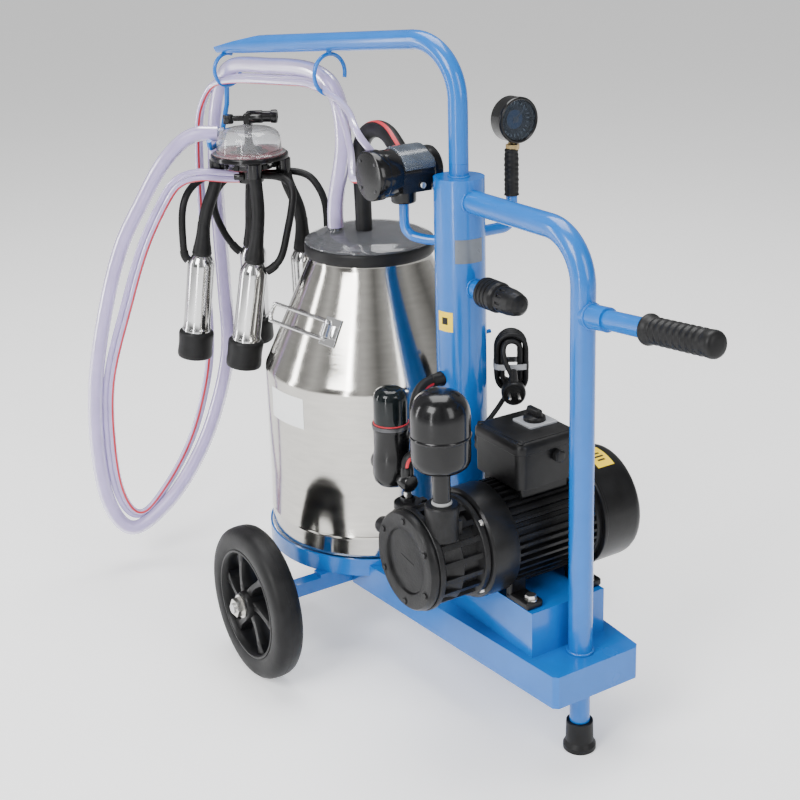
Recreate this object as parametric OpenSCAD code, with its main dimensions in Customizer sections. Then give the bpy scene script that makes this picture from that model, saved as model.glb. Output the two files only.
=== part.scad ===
// Single-bucket mobile milking machine: trolley, vacuum pump set, bucket,
// pulsator, swinging hose arm, milking claw and four teat cups.
// Millimetres. Ground is z = 0, +X points to the pull handle, +Z is up.

/* [Trolley] */
// outer radius of the solid rubber wheels
wheel_r = 112; // [104:1:116]
// tyre width
tyre_w = 42; // [34:1:46]
// height of the tray's top face
deck_z = 144; // [144:1:144]
// sheet thickness of the tray
sheet = 2.5; // [2:0.5:3]
// outer diameter of the front frame tube
frame_d = 32; // [28:1:34]
// wall of the front frame tube
frame_wall = 2; // [1.5:0.5:3]

/* [Bucket] */
// outer radius of the milk bucket
bucket_r = 165; // [160:1:166]
// wall thickness of the milk bucket
bucket_wall = 1.2; // [1:0.1:2]
// height of the bucket's shoulder above the floor
shoulder_z = 412; // [400:1:420]

/* [Column and arm] */
// diameter of the vacuum column
column_d = 70; // [64:1:74]
// diameter of the hose arm tube
arm_d = 27; // [26:0.5:30]

/* [Pump set] */
// radius of the finned motor body
motor_r = 71; // [68:1:74]
// diameter of the exhaust muffler
muffler_d = 83; // [76:1:86]

/* [Cluster] */
// outer diameter of the teat cup shells
shell_d = 43; // [40:1:46]
// bore of the teat cup mouths
mouth_d = 24; // [20:1:26]

/* [Hoses] */
// outer diameter of the milk hose
milk_d = 24; // [20:1:24]
// outer diameter of one of the twin pulse tubes
pulse_d = 10; // [9:0.5:10]

/* [Hidden] */
$fn = 48;

blue = [0.16, 0.43, 0.78];
black = [0.06, 0.06, 0.07];
steel = [0.78, 0.79, 0.8];
clear = [0.75, 0.72, 0.85, 0.6];

shift_x = 27.61;
module place() translate([shift_x, 0, 0]) children();

// ---------- hose helpers ----------
function cross3(a, b) = [a[1]*b[2]-a[2]*b[1], a[2]*b[0]-a[0]*b[2], a[0]*b[1]-a[1]*b[0]];
function unit(v) = v / norm(v);
// one Catmull-Rom midpoint between the inner two of four points
function mid4(a, b, c, d) = (9*(b + c) - a - d) / 16;
function smooth(p) = let(n = len(p)) [for (i = [0:n-2])
    for (q = [p[i], mid4(i == 0 ? 2*p[0]-p[1] : p[i-1], p[i], p[i+1],
                         i == n-2 ? 2*p[n-1]-p[n-2] : p[i+2])]) q, p[n-1]];
function tangents(p) = let(n = len(p))
    [for (i = [0:n-1]) unit(i == 0 ? p[1]-p[0] : i == n-1 ? p[n-1]-p[n-2] : p[i+1]-p[i-1])];
// carries a side vector along the route without twist
function carried(t, u0, i = 0, acc = []) = i >= len(t) ? acc :
    let(prev = i == 0 ? u0 : acc[i-1], u = unit(prev - t[i]*(prev*t[i])))
    carried(t, u0, i + 1, concat(acc, [u]));
module swept(p, rx, ry, sides, u0, aim = []) {
    t = tangents(p);
    u = len(aim) == 0 ? carried(t, u0) : [for (i = [0:len(p)-1]) unit(aim[i] - t[i]*(aim[i]*t[i]))];
    n = len(p);
    pts = [for (i = [0:n-1]) let(v = cross3(t[i], u[i])) for (k = [0:sides-1])
           let(a = 360*k/sides + 180/sides) p[i] + u[i]*rx*cos(a) + v*ry*sin(a)];
    faces = concat([[for (k = [0:sides-1]) k]],
        [for (i = [0:n-2]) for (k = [0:sides-1])
            [i*sides + k, (i+1)*sides + k, (i+1)*sides + (k+1)%sides, i*sides + (k+1)%sides]],
        [[for (k = [0:sides-1]) (n-1)*sides + sides-1-k]]);
    tri = [for (f = faces) for (j = [1:len(f)-2]) [f[0], f[j], f[j+1]]];
    polyhedron(points = pts, faces = tri, convexity = 8);
}

// claw's own directions: s along its tube side, q along its front
claw_x = -450; claw_y = -88;
sx = -0.548; sy = -0.836; qx = -0.836; qy = 0.548;
function cl(s, q, z) = [claw_x + s*sx + q*qx, claw_y + s*sy + q*qy, z];
claw_az = atan2(sy, sx);

// ---------- trolley ----------
axle_x = -158; axle_z = 112; hub_in = 234; hub_out = 284;
tray_front = 300; tray_back = -148; tray_wf = 70; tray_wb = 104;
leg_x = 263; tray_low = 99;
function tray_half(x) = tray_wf + (tray_wb - tray_wf)*(tray_front - x)/(tray_front - tray_back);
corner = 6;
module tray_outline(in = 0) polygon([[tray_back+in, -(tray_half(tray_back+in)-in)],
    [tray_front-corner, -(tray_half(tray_front-corner)-in)], [tray_front-in, -(tray_wf-corner)+in*0.4],
    [tray_front-in, tray_wf-corner-in*0.4], [tray_front-corner, tray_half(tray_front-corner)-in],
    [tray_back+in, tray_half(tray_back+in)-in]]);

module platform() color(blue) place() {
    difference() {
        translate([0, 0, tray_low]) linear_extrude(deck_z - tray_low) tray_outline();
        translate([0, 0, tray_low - 1]) linear_extrude(deck_z - tray_low - sheet + 1) tray_outline(sheet);
    }
    // front leg welded under the tray
    translate([leg_x, 0, 10]) difference() {
        cylinder(d = 27, h = deck_z - sheet - 10);
        translate([0, 0, 6]) cylinder(d = 23, h = deck_z - sheet - 22);
    }
    // bracket plates that carry the leg's load to the tray walls
    for (s = [-1, 1]) translate([leg_x - 1.5, s > 0 ? 13.4 : -tray_half(leg_x) + 1, deck_z - sheet - 26])
        cube([3, tray_half(leg_x) - 14.4, 26]);
}

module axle_beam() color(blue) place() difference() {
    translate([-168, -215, 102]) cube([20, 430, 20]);
    translate([-166, -205, 104]) cube([16, 410, 16]);
    translate([axle_x, 0, axle_z]) rotate([90, 0, 0]) cylinder(r = 7.5, h = 500, center = true);
}

bucket_x = -240;
module bucket_hoop() color(blue) place() {
    difference() {
        translate([bucket_x, 0, 127]) difference() {
            cylinder(r = 170, h = 26, $fn = 96);
            translate([0, 0, -1]) cylinder(r = 167, h = 28, $fn = 96);
        }
        translate([0, 0, 90]) linear_extrude(deck_z - 90) tray_outline();
    }
    for (s = [-1, 1]) {
        // seat bars under the bucket
        difference() {
            translate([-402, s*60 - 10, 138]) cube([254, 20, 6]);
            difference() {
                translate([bucket_x, 0, 130]) cylinder(r = 250, h = 20, $fn = 96);
                translate([bucket_x, 0, 129]) cylinder(r = 167.2, h = 22, $fn = 96);
            }
        }
        // gussets that stand on the axle beam
        translate([-168, s*146 - 12, 122]) cube([20, 24, 5]);
    }
}

module foot_cap() color(black) place() translate([leg_x, 0, 0]) difference() {
    rotate_extrude($fn = 64) polygon([[0, 0], [21, 0], [22, 1], [22, 7], [18.6, 13], [18, 41], [17, 42], [0, 42]]);
    translate([0, 0, 10]) cylinder(d = 27, h = 40);
}

module axle_shaft() color(steel) place() translate([axle_x, 0, axle_z]) rotate([90, 0, 0]) {
    cylinder(r = 7.5, h = 598, center = true);
    for (s = [-1, 1]) translate([0, 0, s > 0 ? 215 : -(hub_in - 0.2)]) difference() {
        cylinder(r = 11, h = hub_in - 0.2 - 215);
        translate([0, 0, -1]) cylinder(r = 7.4, h = 40);
    }
}

module axle_nuts() color(steel) place() for (s = [-1, 1])
    translate([axle_x, s*(hub_out + 0.2), axle_z]) rotate([s > 0 ? -90 : 90, 0, 0]) difference() {
        union() {
            cylinder(r = 17, h = 2);
            translate([0, 0, 2]) cylinder(r = 13.86, h = 9, $fn = 6);
        }
        translate([0, 0, -1]) cylinder(r = 7.5, h = 20);
    }

module tyre_shape() translate([0, -tyre_w/2]) polygon([[80, 0], [wheel_r-14, 0], [wheel_r-6, 2.5],
    [wheel_r-1.5, 8], [wheel_r, 14], [wheel_r, tyre_w-14], [wheel_r-1.5, tyre_w-8],
    [wheel_r-6, tyre_w-2.5], [wheel_r-14, tyre_w], [80, tyre_w]]);
module tyre(s) color(black) place() translate([axle_x, s*(hub_in + hub_out)/2, axle_z]) rotate([90, 0, 0])
    rotate_extrude($fn = 96) tyre_shape();
module rim(s) color([0.12, 0.12, 0.13]) place() translate([axle_x, s*(hub_in + hub_out)/2, axle_z]) rotate([90, 0, 0])
    difference() {
        union() {
            difference() {
                cylinder(r = 80, h = 38, center = true, $fn = 96);
                cylinder(r = 71, h = 50, center = true, $fn = 96);
            }
            difference() {
                cylinder(r = 73, h = 4, center = true, $fn = 96);
                cylinder(r = 62, h = 50, center = true, $fn = 96);
            }
            cylinder(r = 20, h = 50, center = true);
            for (k = [0:5]) rotate([0, 0, 60*k]) intersection() {
                translate([0, 0, -14]) difference() {
                    translate([36, -34, 0]) cylinder(r = 48, h = 28, $fn = 64);
                    translate([36, -34, -1]) cylinder(r = 40, h = 30, $fn = 64);
                }
                translate([16, -6, -14]) cube([57, 30, 28]);
            }
        }
        cylinder(r = 7.55, h = 80, center = true);
    }
module near_tyre() tyre(-1);
module near_rim() rim(-1);
module far_tyre() tyre(1);
module far_rim() rim(1);

// ---------- column, frame, plinth ----------
col_top = 733; stub_r = 12.4;
gauge_y = 95; pipe_z = 651;
pul_x = -64; pul_y = -48; pul_z = 20; pul_az = 90;
puls_in_z = 657;
module column_tank() color(blue) place() {
    difference() {
        union() {
            translate([0, 0, deck_z]) cylinder(d = column_d, h = col_top - deck_z, $fn = 96);
            translate([0, 0, col_top]) cylinder(r = stub_r + 1.1, h = 18);
            translate([0, 0, col_top]) cylinder(r = stub_r, h = 67);
            // branch to the regulator
            translate([30, 0, 584]) rotate([0, 90, 0]) cylinder(d = 24, h = 26);
            // small hook for the mains lead
            translate([0, 33, 505]) rotate([-90, 0, 0]) cylinder(d = 6, h = 16);
        }
        translate([0, 0, deck_z + 3]) cylinder(d = column_d - 6, h = col_top - deck_z - 6, $fn = 96);
        translate([28, 0, 584]) rotate([0, 90, 0]) cylinder(d = 19, h = 40);
    }
}

up_x = 263; up_z = 703; bend = 66;
module tube_bend(r, wall) { // quarter bend in the XZ plane, at the origin's corner
    rotate([90, 0, 0]) rotate_extrude(angle = 90, $fn = 96) translate([bend, 0]) difference() {
        circle(r = r, $fn = 48);
        circle(r = r - wall, $fn = 48);
    }
}
module upright_frame() color(blue) place() {
    r = frame_d/2;
    translate([up_x, 0, deck_z]) difference() {
        cylinder(r = r, h = up_z - bend - deck_z);
        translate([0, 0, -1]) cylinder(r = r - frame_wall, h = up_z);
    }
    translate([up_x - bend, 0, up_z - bend]) tube_bend(r, frame_wall);
    difference() {
        translate([20, 0, up_z]) rotate([0, 90, 0]) difference() {
            cylinder(r = r, h = up_x - bend - 20);
            translate([0, 0, -1]) cylinder(r = r - frame_wall, h = 400);
        }
        translate([0, 0, 600]) cylinder(d = column_d, h = 200, $fn = 96);
    }
    // welded socket of the pull handle
    difference() {
        translate([up_x + 8, 0, handle_z(up_x + 8)]) rotate([0, 90 - handle_rise, 0]) difference() {
            cylinder(d = 31, h = 40);
            translate([0, 0, -1]) cylinder(r = 12.56, h = 60);
        }
        translate([up_x, 0, 500]) cylinder(r = r, h = 200);
    }
}
handle_rise = 5.4;
function handle_z(x) = 605 + (x - 270)*tan(handle_rise);
module handle_tube() color(blue) place() translate([up_x + 20, 0, handle_z(up_x + 20)]) rotate([0, 90 - handle_rise, 0])
    difference() {
        cylinder(r = 12.5, h = 202);
        translate([0, 0, -1]) cylinder(r = 10.5, h = 196);
    }
module handle_grip() color(black) place() translate([up_x + 20, 0, handle_z(up_x + 20)]) rotate([0, 90 - handle_rise, 0])
    difference() {
        rotate_extrude($fn = 64) polygon([[0, 98], [19, 98], [20, 99], [20, 103], [18.5, 105], [15.8, 107],
            [16.4, 118], [15.2, 126], [16.4, 136], [15.2, 146], [16.4, 156], [15.2, 166], [16.4, 176],
            [15.2, 186], [16.5, 196], [16.5, 206], [14, 211], [0, 212.5]]);
        translate([0, 0, 90]) cylinder(r = 12.5, h = 112);
    }

pl_x0 = 55; pl_x1 = 242; pl_y0 = -63; pl_y1 = 57; pl_top = 207;
mot_x = 145; mot_z = 281;
module motor_plinth() color(blue) place() difference() {
    translate([pl_x0, pl_y0, deck_z]) cube([pl_x1 - pl_x0, pl_y1 - pl_y0, pl_top - deck_z]);
    translate([pl_x0 + 3, pl_y0 + 3, deck_z - 1]) cube([pl_x1 - pl_x0 - 6, pl_y1 - pl_y0 - 6, pl_top - deck_z - 2]);
    for (x = [pl_x0 + 24, pl_x1 - 18], y = [pl_y0 + 12, pl_y1 - 12])
        translate([x, y, pl_top - 10]) cylinder(d = 8.5, h = 20, $fn = 24);
}

// ---------- motor and pump ----------
module motor_foot_holes(d) for (x = [pl_x0 + 24, pl_x1 - 18], y = [pl_y0 + 12, pl_y1 - 12])
    translate([x, y, pl_top - 1]) cylinder(d = d, h = 12, $fn = 24);
module motor_body() color(black) place() difference() {
    union() {
        translate([mot_x, 0, mot_z]) rotate([90, 0, 0]) {
            translate([0, 0, -75]) cylinder(r = motor_r - 5, h = 180, $fn = 72);
            translate([0, 0, 60]) cylinder(r = motor_r + 3, h = 45, $fn = 72);
            translate([0, 0, -75]) cylinder(r = motor_r + 1, h = 10, $fn = 72);
            // cooling fins
            for (a = [10:10:350]) if (a < 60 || a > 120) rotate([0, 0, a]) translate([60, -1.2, -66]) cube([motor_r - 60, 2.4, 127]);
        }
        // feet
        for (y = [pl_y0 + 2, pl_y1 - 22]) translate([pl_x0 + 10, y, pl_top]) cube([pl_x1 - pl_x0 - 16, 20, 10]);
        for (y = [pl_y0 + 2, pl_y1 - 22]) translate([mot_x - 46, y, pl_top]) cube([92, 20, 24]);
        // pad for the terminal box
        translate([100, -30, mot_z + 50]) cube([82, 70, 22]);
    }
    translate([mot_x, 0, mot_z]) rotate([90, 0, 0]) translate([0, 0, -76]) cylinder(r = motor_r - 13, h = 169, $fn = 72);
    translate([mot_x, 0, mot_z]) rotate([90, 0, 0]) cylinder(r = 12.05, h = 300, center = true);
    motor_foot_holes(8.2);
}
module motor_bolts() color(steel) place() {
    for (x = [pl_x0 + 24, pl_x1 - 18], y = [pl_y0 + 12, pl_y1 - 12]) translate([x, y, pl_top + 10]) {
        cylinder(r = 9, h = 1.6, $fn = 32);
        translate([0, 0, 1.6]) cylinder(r = 7.5, h = 5.4, $fn = 6);
        translate([0, 0, -22]) cylinder(r = 4, h = 23, $fn = 24);
    }
}
module motor_rotor() color(steel) place() translate([mot_x, 0, mot_z]) rotate([90, 0, 0]) difference() {
    union() {
        translate([0, 0, -118]) cylinder(r = 12, h = 306, $fn = 48);
        translate([0, 0, -55]) cylinder(r = 40, h = 110, $fn = 64);
    }
}
module fan_cover() color([0.45, 0.46, 0.48]) place() translate([mot_x, 75, mot_z]) rotate([-90, 0, 0]) difference() {
    rotate_extrude($fn = 72) polygon([[70, 0], [78, 0], [79, 2], [79, 56], [76, 62], [70, 65], [12, 65], [12, 62.8],
        [69, 62.8], [74, 60.5], [76.8, 55], [76.8, 2.5], [70, 2.5]]);
    // air slots in the end
    for (r = [22:9:58]) for (a = [0, 90, 180, 270]) rotate([0, 0, a]) rotate_extrude(angle = 66, $fn = 72)
        translate([r, 60]) square([5, 8]);
}
module fan() color(black) place() translate([mot_x, 84, mot_z]) rotate([-90, 0, 0]) {
    difference() {
        union() {
            cylinder(r = 18, h = 28);
            cylinder(r = 62, h = 2.5, $fn = 64);
            for (a = [0:45:315]) rotate([0, 0, a]) translate([14, -1.2, 0]) cube([48, 2.4, 30]);
        }
        translate([0, 0, -1]) cylinder(r = 12, h = 60, $fn = 48);
    }
}

pump_r = 62; pump_off = 7;
in_x = mot_x - 41; out_x = mot_x + 39;
module pump_housing() color([0.1, 0.1, 0.11]) place() difference() {
    union() {
        translate([mot_x, -105, mot_z]) rotate([90, 0, 0]) cylinder(r = pump_r, h = 77, $fn = 72);
        translate([mot_x, -105, mot_z]) rotate([90, 0, 0]) cylinder(r = pump_r + 5, h = 8, $fn = 72);
        // outlet and inlet bosses
        translate([out_x, -160, mot_z]) cylinder(r = 20, h = 86, $fn = 48);
        translate([in_x, -160, mot_z]) cylinder(r = 17, h = 60, $fn = 48);
        // oil drain boss at the side
        translate([mot_x - 102, -164, mot_z + 5]) rotate([0, 90, 0]) cylinder(r = 11, h = 60, $fn = 32);
        // raised ribs between the cooling pockets
        for (a = [25:26:337]) if (a < 150 || a > 210) translate([mot_x, -115, mot_z]) rotate([90, 90 - a, 0]) translate([57, -2, 0]) cube([9, 4, 62]);
    }
    // eccentric pump bore
    translate([mot_x, -116, mot_z + pump_off]) rotate([90, 0, 0]) cylinder(r = 46, h = 67, $fn = 72);
    translate([mot_x, -100, mot_z]) rotate([90, 0, 0]) cylinder(r = 12.05, h = 30, $fn = 48);
    // ports from the bosses into the bore
    translate([out_x - 6, -160, mot_z + 16]) cylinder(r = 9, h = 80, $fn = 32);
    translate([in_x + 5, -160, mot_z + 16]) cylinder(r = 5.1, h = 80, $fn = 32);
}
module pump_cover() color([0.1, 0.1, 0.11]) place() translate([mot_x, -182, mot_z]) rotate([90, 0, 0]) difference() {
    union() {
        rotate_extrude($fn = 72) polygon([[0, 0], [65.5, 0], [65.5, 9], [63.5, 12], [46, 12], [44, 8], [18, 8], [15, 12], [0, 12]]);
        for (a = [30:60:330]) rotate([0, 0, a]) translate([55, 0, 12]) cylinder(r = 6.5, h = 5, $fn = 6);
    }
    translate([0, 0, -1]) cylinder(r = 12.05, h = 8, $fn = 48);
}
module pump_rotor() color(steel) place() translate([mot_x, -116.6, mot_z]) rotate([90, 0, 0]) difference() {
    union() {
        cylinder(r = 38.4, h = 64.8, $fn = 72);
        // four sliding vanes in their slots, as found at rest
        for (a = [0, 90, 180, 270]) rotate([0, 0, a]) translate([20, -2, 0])
            cube([18.9, 4, 64.8]);
    }
    translate([0, 0, -1]) cylinder(r = 12, h = 80, $fn = 48);
}
module exhaust_muffler() color(black) place() translate([out_x, -160, 0]) {
    rotate_extrude($fn = 72) polygon([[0, mot_z + 86], [11.5, mot_z + 86], [11.5, 405], [24, 407], [muffler_d/2 - 6, 409],
        [muffler_d/2, 416], [muffler_d/2, 456], [muffler_d/2 + 1.2, 457], [muffler_d/2 + 1.2, 459], [muffler_d/2, 460], [muffler_d/2, 490],
        [muffler_d/2 - 3, 504], [muffler_d/2 - 10, 514], [20, 520], [0, 522]]);
}

oil_x = 68; oil_y = -160;
module oiler_body() color(black) place() {
    difference() {
        union() {
            translate([oil_x, oil_y, 0]) rotate_extrude($fn = 64) polygon([[0, 353], [14, 353], [22, 358], [25, 368],
                [25, 392], [23, 402], [23, 432], [0, 432]]);
            translate([in_x, oil_y, 366]) rotate([0, -90, 0]) cylinder(r = 9, h = 30, $fn = 32);
            translate([oil_x, oil_y, 376]) rotate([0, -90, 0]) cylinder(r = 12, h = 30, $fn = 32);
            translate([in_x, oil_y, 366]) sphere(r = 12, $fn = 40);
            // inlet socket for the suction hose
            translate([in_x, oil_y, 368]) cylinder(r = 8, h = 22, $fn = 32);
        }
        translate([oil_x, oil_y, 372]) cylinder(r = 17, h = 70, $fn = 48);
    }
}
module oiler_bowl() color([0.3, 0.32, 0.34]) place() translate([oil_x, oil_y, 0]) rotate_extrude($fn = 64)
    polygon([[18, 432], [24, 432], [24, 438], [22.5, 439], [22.5, 474], [20, 484], [12, 487], [0, 487], [0, 484.5], [11, 484.5], [18, 481.5], [20, 473], [20, 440], [18, 438]]);
module suction_pipe() color(steel) place() translate([in_x, -160, mot_z + 60]) {
    cylinder(r = 5, h = 13.4, $fn = 32);
    cylinder(r = 9, h = 6, $fn = 6);
}
module suction_hose() color(black) place() {
    // elbow on the column, then the hose to the oiler
    translate([0, -34.4, 452]) rotate([90, 0, 0]) cylinder(r = 9, h = 16, $fn = 32);
    swept(smooth([[0, -50.4, 452], [1, -66, 450], [10, -84, 436], [32, -102, 416], [62, -112, 400],
        [92, -122, 396], [104, -138, 400], [104, -154, 402], [104, -160, 396], [104, -160, 390.2]]), 7.5, 7.5, 10, [0, 0, 1]);
}

// ---------- terminal box ----------
tb = [87, -47, 353]; tbs = [108, 102, 65];
module rounded_box(p, s, r) translate(p) linear_extrude(s[2]) union() {
    translate([r, 0]) square([s[0] - 2*r, s[1]]);
    translate([0, r]) square([s[0], s[1] - 2*r]);
    for (x = [r, s[0]-r], y = [r, s[1]-r]) translate([x, y]) circle(r = r, $fn = 32);
}
module terminal_box() color([0.09, 0.09, 0.1]) place() difference() {
    rounded_box([tb[0]+2, tb[1]+2, tb[2]], [tbs[0]-4, tbs[1]-4, 50], 8);
    rounded_box([tb[0]+5, tb[1]+5, tb[2]+4], [tbs[0]-10, tbs[1]-10, 60], 6);
    // mains lead opening and its plugged twin
    translate([80, -20, 376]) rotate([0, 90, 0]) cylinder(r = 8, h = 20, $fn = 32);
}
module box_lid() color([0.08, 0.08, 0.09]) place() {
    difference() {
        rounded_box([tb[0], tb[1], 403], [tbs[0], tbs[1], 15], 9);
        rounded_box([tb[0]+5, tb[1]+5, 402], [tbs[0]-10, tbs[1]-10, 11.5], 6);
        translate([137, 22, 400]) cylinder(r = 4.05, h = 30, $fn = 32);
        for (x = [tb[0]+10, tb[0]+tbs[0]-10], y = [tb[1]+10, tb[1]+tbs[1]-10])
            translate([x, y, 416]) cylinder(r = 4, h = 5, $fn = 24);
    }
    // switch escutcheon
    difference() {
        translate([116, 0, 418]) cube([42, 46, 1.6]);
        translate([137, 22, 400]) cylinder(r = 4.05, h = 30, $fn = 32);
    }
    // blanking plug on the side
    translate([195, 15, 392]) rotate([0, 90, 0]) cylinder(r = 9, h = 8, $fn = 6);
}
module switch_knob() color(black) place() translate([137, 22, 0]) {
    translate([0, 0, 419.8]) cylinder(r = 15, h = 6, $fn = 48);
    translate([-14, -4.5, 425.8]) cube([28, 9, 13]);
    translate([0, 0, 408]) cylinder(r = 4, h = 14, $fn = 32);
}
module cable_gland() color(black) place() translate([0, -20, 376]) rotate([0, -90, 0]) {
    translate([0, 0, -92]) difference() {
        cylinder(r = 8, h = 8, $fn = 32);
        translate([0, 0, -1]) cylinder(r = 3.5, h = 20, $fn = 24);
    }
    translate([0, 0, -89]) difference() {
        union() {
            cylinder(r = 13, h = 8, $fn = 6);
            translate([0, 0, 8]) cylinder(r = 10, h = 10, $fn = 32);
        }
        translate([0, 0, -1]) cylinder(r = 3.5, h = 30, $fn = 24);
    }
}
// mains lead: from the gland up to the hank
module power_cord() color(black) place() swept(smooth([[71, -20, 376], [58, -18, 377], [48, -6, 384], [46, 14, 396], [42, 34, 408], [36, 46, 416], [33, 52, 422]]),
    3.5, 3.5, 8, [0, 0, 1]);
hank = [30, 63, 465];
module cord_hank() color(black) place() difference() {
    translate(hank) rotate([0, 0, -33]) rotate([90, 0, 90]) translate([0, 0, -14]) linear_extrude(28) union() {
        translate([-24, -20]) square([48, 42]);
        translate([0, -20]) scale(1) intersection() { circle(r = 24, $fn = 48); translate([-30, -30]) square([60, 31]); }
        translate([0, 22]) intersection() { circle(r = 24, $fn = 48); translate([-30, -1]) square([60, 31]); }
    }
    translate([0, 0, 300]) cylinder(d = column_d + 0.6, h = 300, $fn = 96);
    translate([0, 30, 505]) rotate([-90, 0, 0]) cylinder(d = 6.6, h = 30, $fn = 24);
}
module plug() color(black) place() translate([52, 50, 432]) rotate([0, 90, -33]) {
    translate([0, 0, -3]) cylinder(r = 17, h = 22, $fn = 40);
    for (y = [-6.4, 6.4]) translate([0, y, 18]) cylinder(r = 2, h = 20, $fn = 24);
}

// ---------- pulsator, gauge, regulator ----------
module branch_pipes() color(blue) place() {
    // pulsator pipe
    difference() {
        union() {
            swept(smooth([[pul_x, pul_y, 693], [pul_x, pul_y, 682], [pul_x, pul_y, 668], [pul_x + 2, pul_y + 1, 655], [-55, -41, 646], [-44, -33, 643], [-34, -26, 642], [-24, -18, 642]]), 7, 7, 16, [1, 0, 0]);
            // gauge pipe
            translate([0, 33, pipe_z]) rotate([-90, 0, 0]) cylinder(r = 8, h = 37, $fn = 32);
            translate([0, 70, pipe_z + 18]) rotate([90, 0, 90]) rotate([0, 0, -90]) rotate_extrude(angle = 90, $fn = 64) translate([18, 0]) circle(r = 8, $fn = 32);
            translate([0, 88, pipe_z + 18]) cylinder(r = 8, h = 25, $fn = 32);
        }
        translate([0, 0, 600]) cylinder(d = column_d, h = 130, $fn = 96);
    }
}
module pulsator_frame() translate([pul_x, pul_y, pul_z]) rotate([0, 0, pul_az]) children();
module pulsator_body() color(black) place() pulsator_frame() difference() {
    union() {
        translate([-22, -30, 690]) cube([58, 60, 36]);
        translate([-36, 0, 716]) rotate([0, 90, 0]) cylinder(r = 33, h = 20, $fn = 64);
        translate([-56, 0, 716]) rotate([0, 90, 0]) cylinder(r = 34.5, h = 20, $fn = 64);
        translate([0, 0, 673]) cylinder(r = 17.5, h = 18, $fn = 48);
        translate([36, 0, 708]) rotate([0, 90, 0]) cylinder(r = 18, h = 18, $fn = 48);
        // nozzles for the twin pulse tube
        translate([-40, 6, 741]) rotate([-12, -35, 0]) cylinder(r = 4.5, h = 18, $fn = 32);
        translate([-46, 26, 706]) rotate([-100, 0, 0]) cylinder(r = 4.5, h = 18, $fn = 32);
        // port of the vacuum hose
        translate([20, 18, 718.6]) rotate([-50, 0, 0]) cylinder(r = 9, h = 27.2, $fn = 32);
    }
    translate([12, -22, 700]) rotate([90, 0, 0]) cylinder(r = 4.05, h = 12, $fn = 24);
}
module pulsator_cover() color([0.55, 0.58, 0.62]) place() pulsator_frame() difference() {
    rotate([0, 0, 0]) translate([-15.9, 0, 0]) rotate([90, 0, 90]) linear_extrude(50)
        polygon([[-30, 726], [27.8, 726], [27.8, 750], [4, 752], [-30, 735]]);
    translate([-13, 0, 0]) rotate([90, 0, 90]) linear_extrude(44)
        polygon([[-27, 725], [25, 725], [25, 747], [4, 749], [-27, 733]]);
    translate([20, 18, 718.6]) rotate([-50, 0, 0]) cylinder(r = 9.3, h = 30, $fn = 32);
}
module pulsator_screw() color(steel) place() pulsator_frame() translate([12, -30.2, 700]) rotate([90, 0, 0]) {
    cylinder(r = 7, h = 5, $fn = 32);
    translate([0, 0, -8]) cylinder(r = 4, h = 9, $fn = 24);
}

module gauge_case() color(black) place() {
    difference() {
        union() {
            translate([-14, gauge_y - 3, 800]) rotate([0, 90, 0]) cylinder(r = 31.5, h = 28, $fn = 72);
            translate([0, 92, 766]) cylinder(r = 7, h = 12, $fn = 32);
        }
        translate([-10, gauge_y - 3, 800]) rotate([0, 90, 0]) cylinder(r = 27.5, h = 30, $fn = 72);
    }
    translate([-11, gauge_y - 3, 800]) rotate([0, 90, 0]) difference() {
        cylinder(r = 27.5, h = 12, $fn = 72);
        translate([0, 0, 9]) cylinder(r = 1.55, h = 10, $fn = 24);
    }
}
module gauge_lens() color([0.9, 0.95, 1, 0.3]) place() translate([9.5, gauge_y - 3, 800]) rotate([0, 90, 0]) cylinder(r = 27.5, h = 2.5, $fn = 72);
module gauge_needle() color([0.9, 0.9, 0.9]) place() translate([0, gauge_y - 3, 800]) rotate([0, 90, 0]) {
    cylinder(r = 1.5, h = 7, $fn = 24);
    translate([0, 0, 4]) cylinder(r = 4, h = 2, $fn = 24);
    rotate([0, 0, 45]) translate([-1, -6, 4]) cube([2, 27, 1.2]);
}
module gauge_sleeve() color([0.12, 0.12, 0.13]) place() {
    // wrapped sleeve over the pipe joint, with the gauge's hex connector
    translate([0, 88, 694]) rotate_extrude($fn = 40) polygon([[0, 0], [9.5, 0], [10.5, 2], [10, 20], [10.5, 40], [9.5, 60], [8, 66], [0, 66]]);
    translate([0, 90, 760]) cylinder(r = 10, h = 6, $fn = 6);
}

module regulator_body() color([0.12, 0.12, 0.13]) place() translate([56, 0, 584]) rotate([0, 90, 0]) difference() {
    rotate_extrude($fn = 64) polygon([[0, 0], [12, 0], [21, 3], [21, 8], [19.5, 9], [21, 11], [21, 16], [19.5, 17], [21, 19], [21, 24],
        [19.5, 25], [21, 27], [21, 34], [19, 38], [14, 42], [0, 42]]);
    translate([0, 0, 30]) cylinder(r = 6.05, h = 20, $fn = 32);
}
module regulator_cap() color([0.1, 0.1, 0.11]) place() translate([56, 0, 584]) rotate([0, 90, 0]) difference() {
    union() {
        rotate_extrude($fn = 64) polygon([[0, 42.2], [18, 42.2], [18.5, 46], [18, 60], [16.5, 70], [14, 79], [9, 83.5], [0, 85]]);
        translate([0, 0, 33]) cylinder(r = 6, h = 12, $fn = 32);
    }
    for (a = [0:30:330]) rotate([0, 0, a]) translate([19.2, 0, 48]) cylinder(r = 2.2, h = 10, $fn = 24);
}

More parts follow.
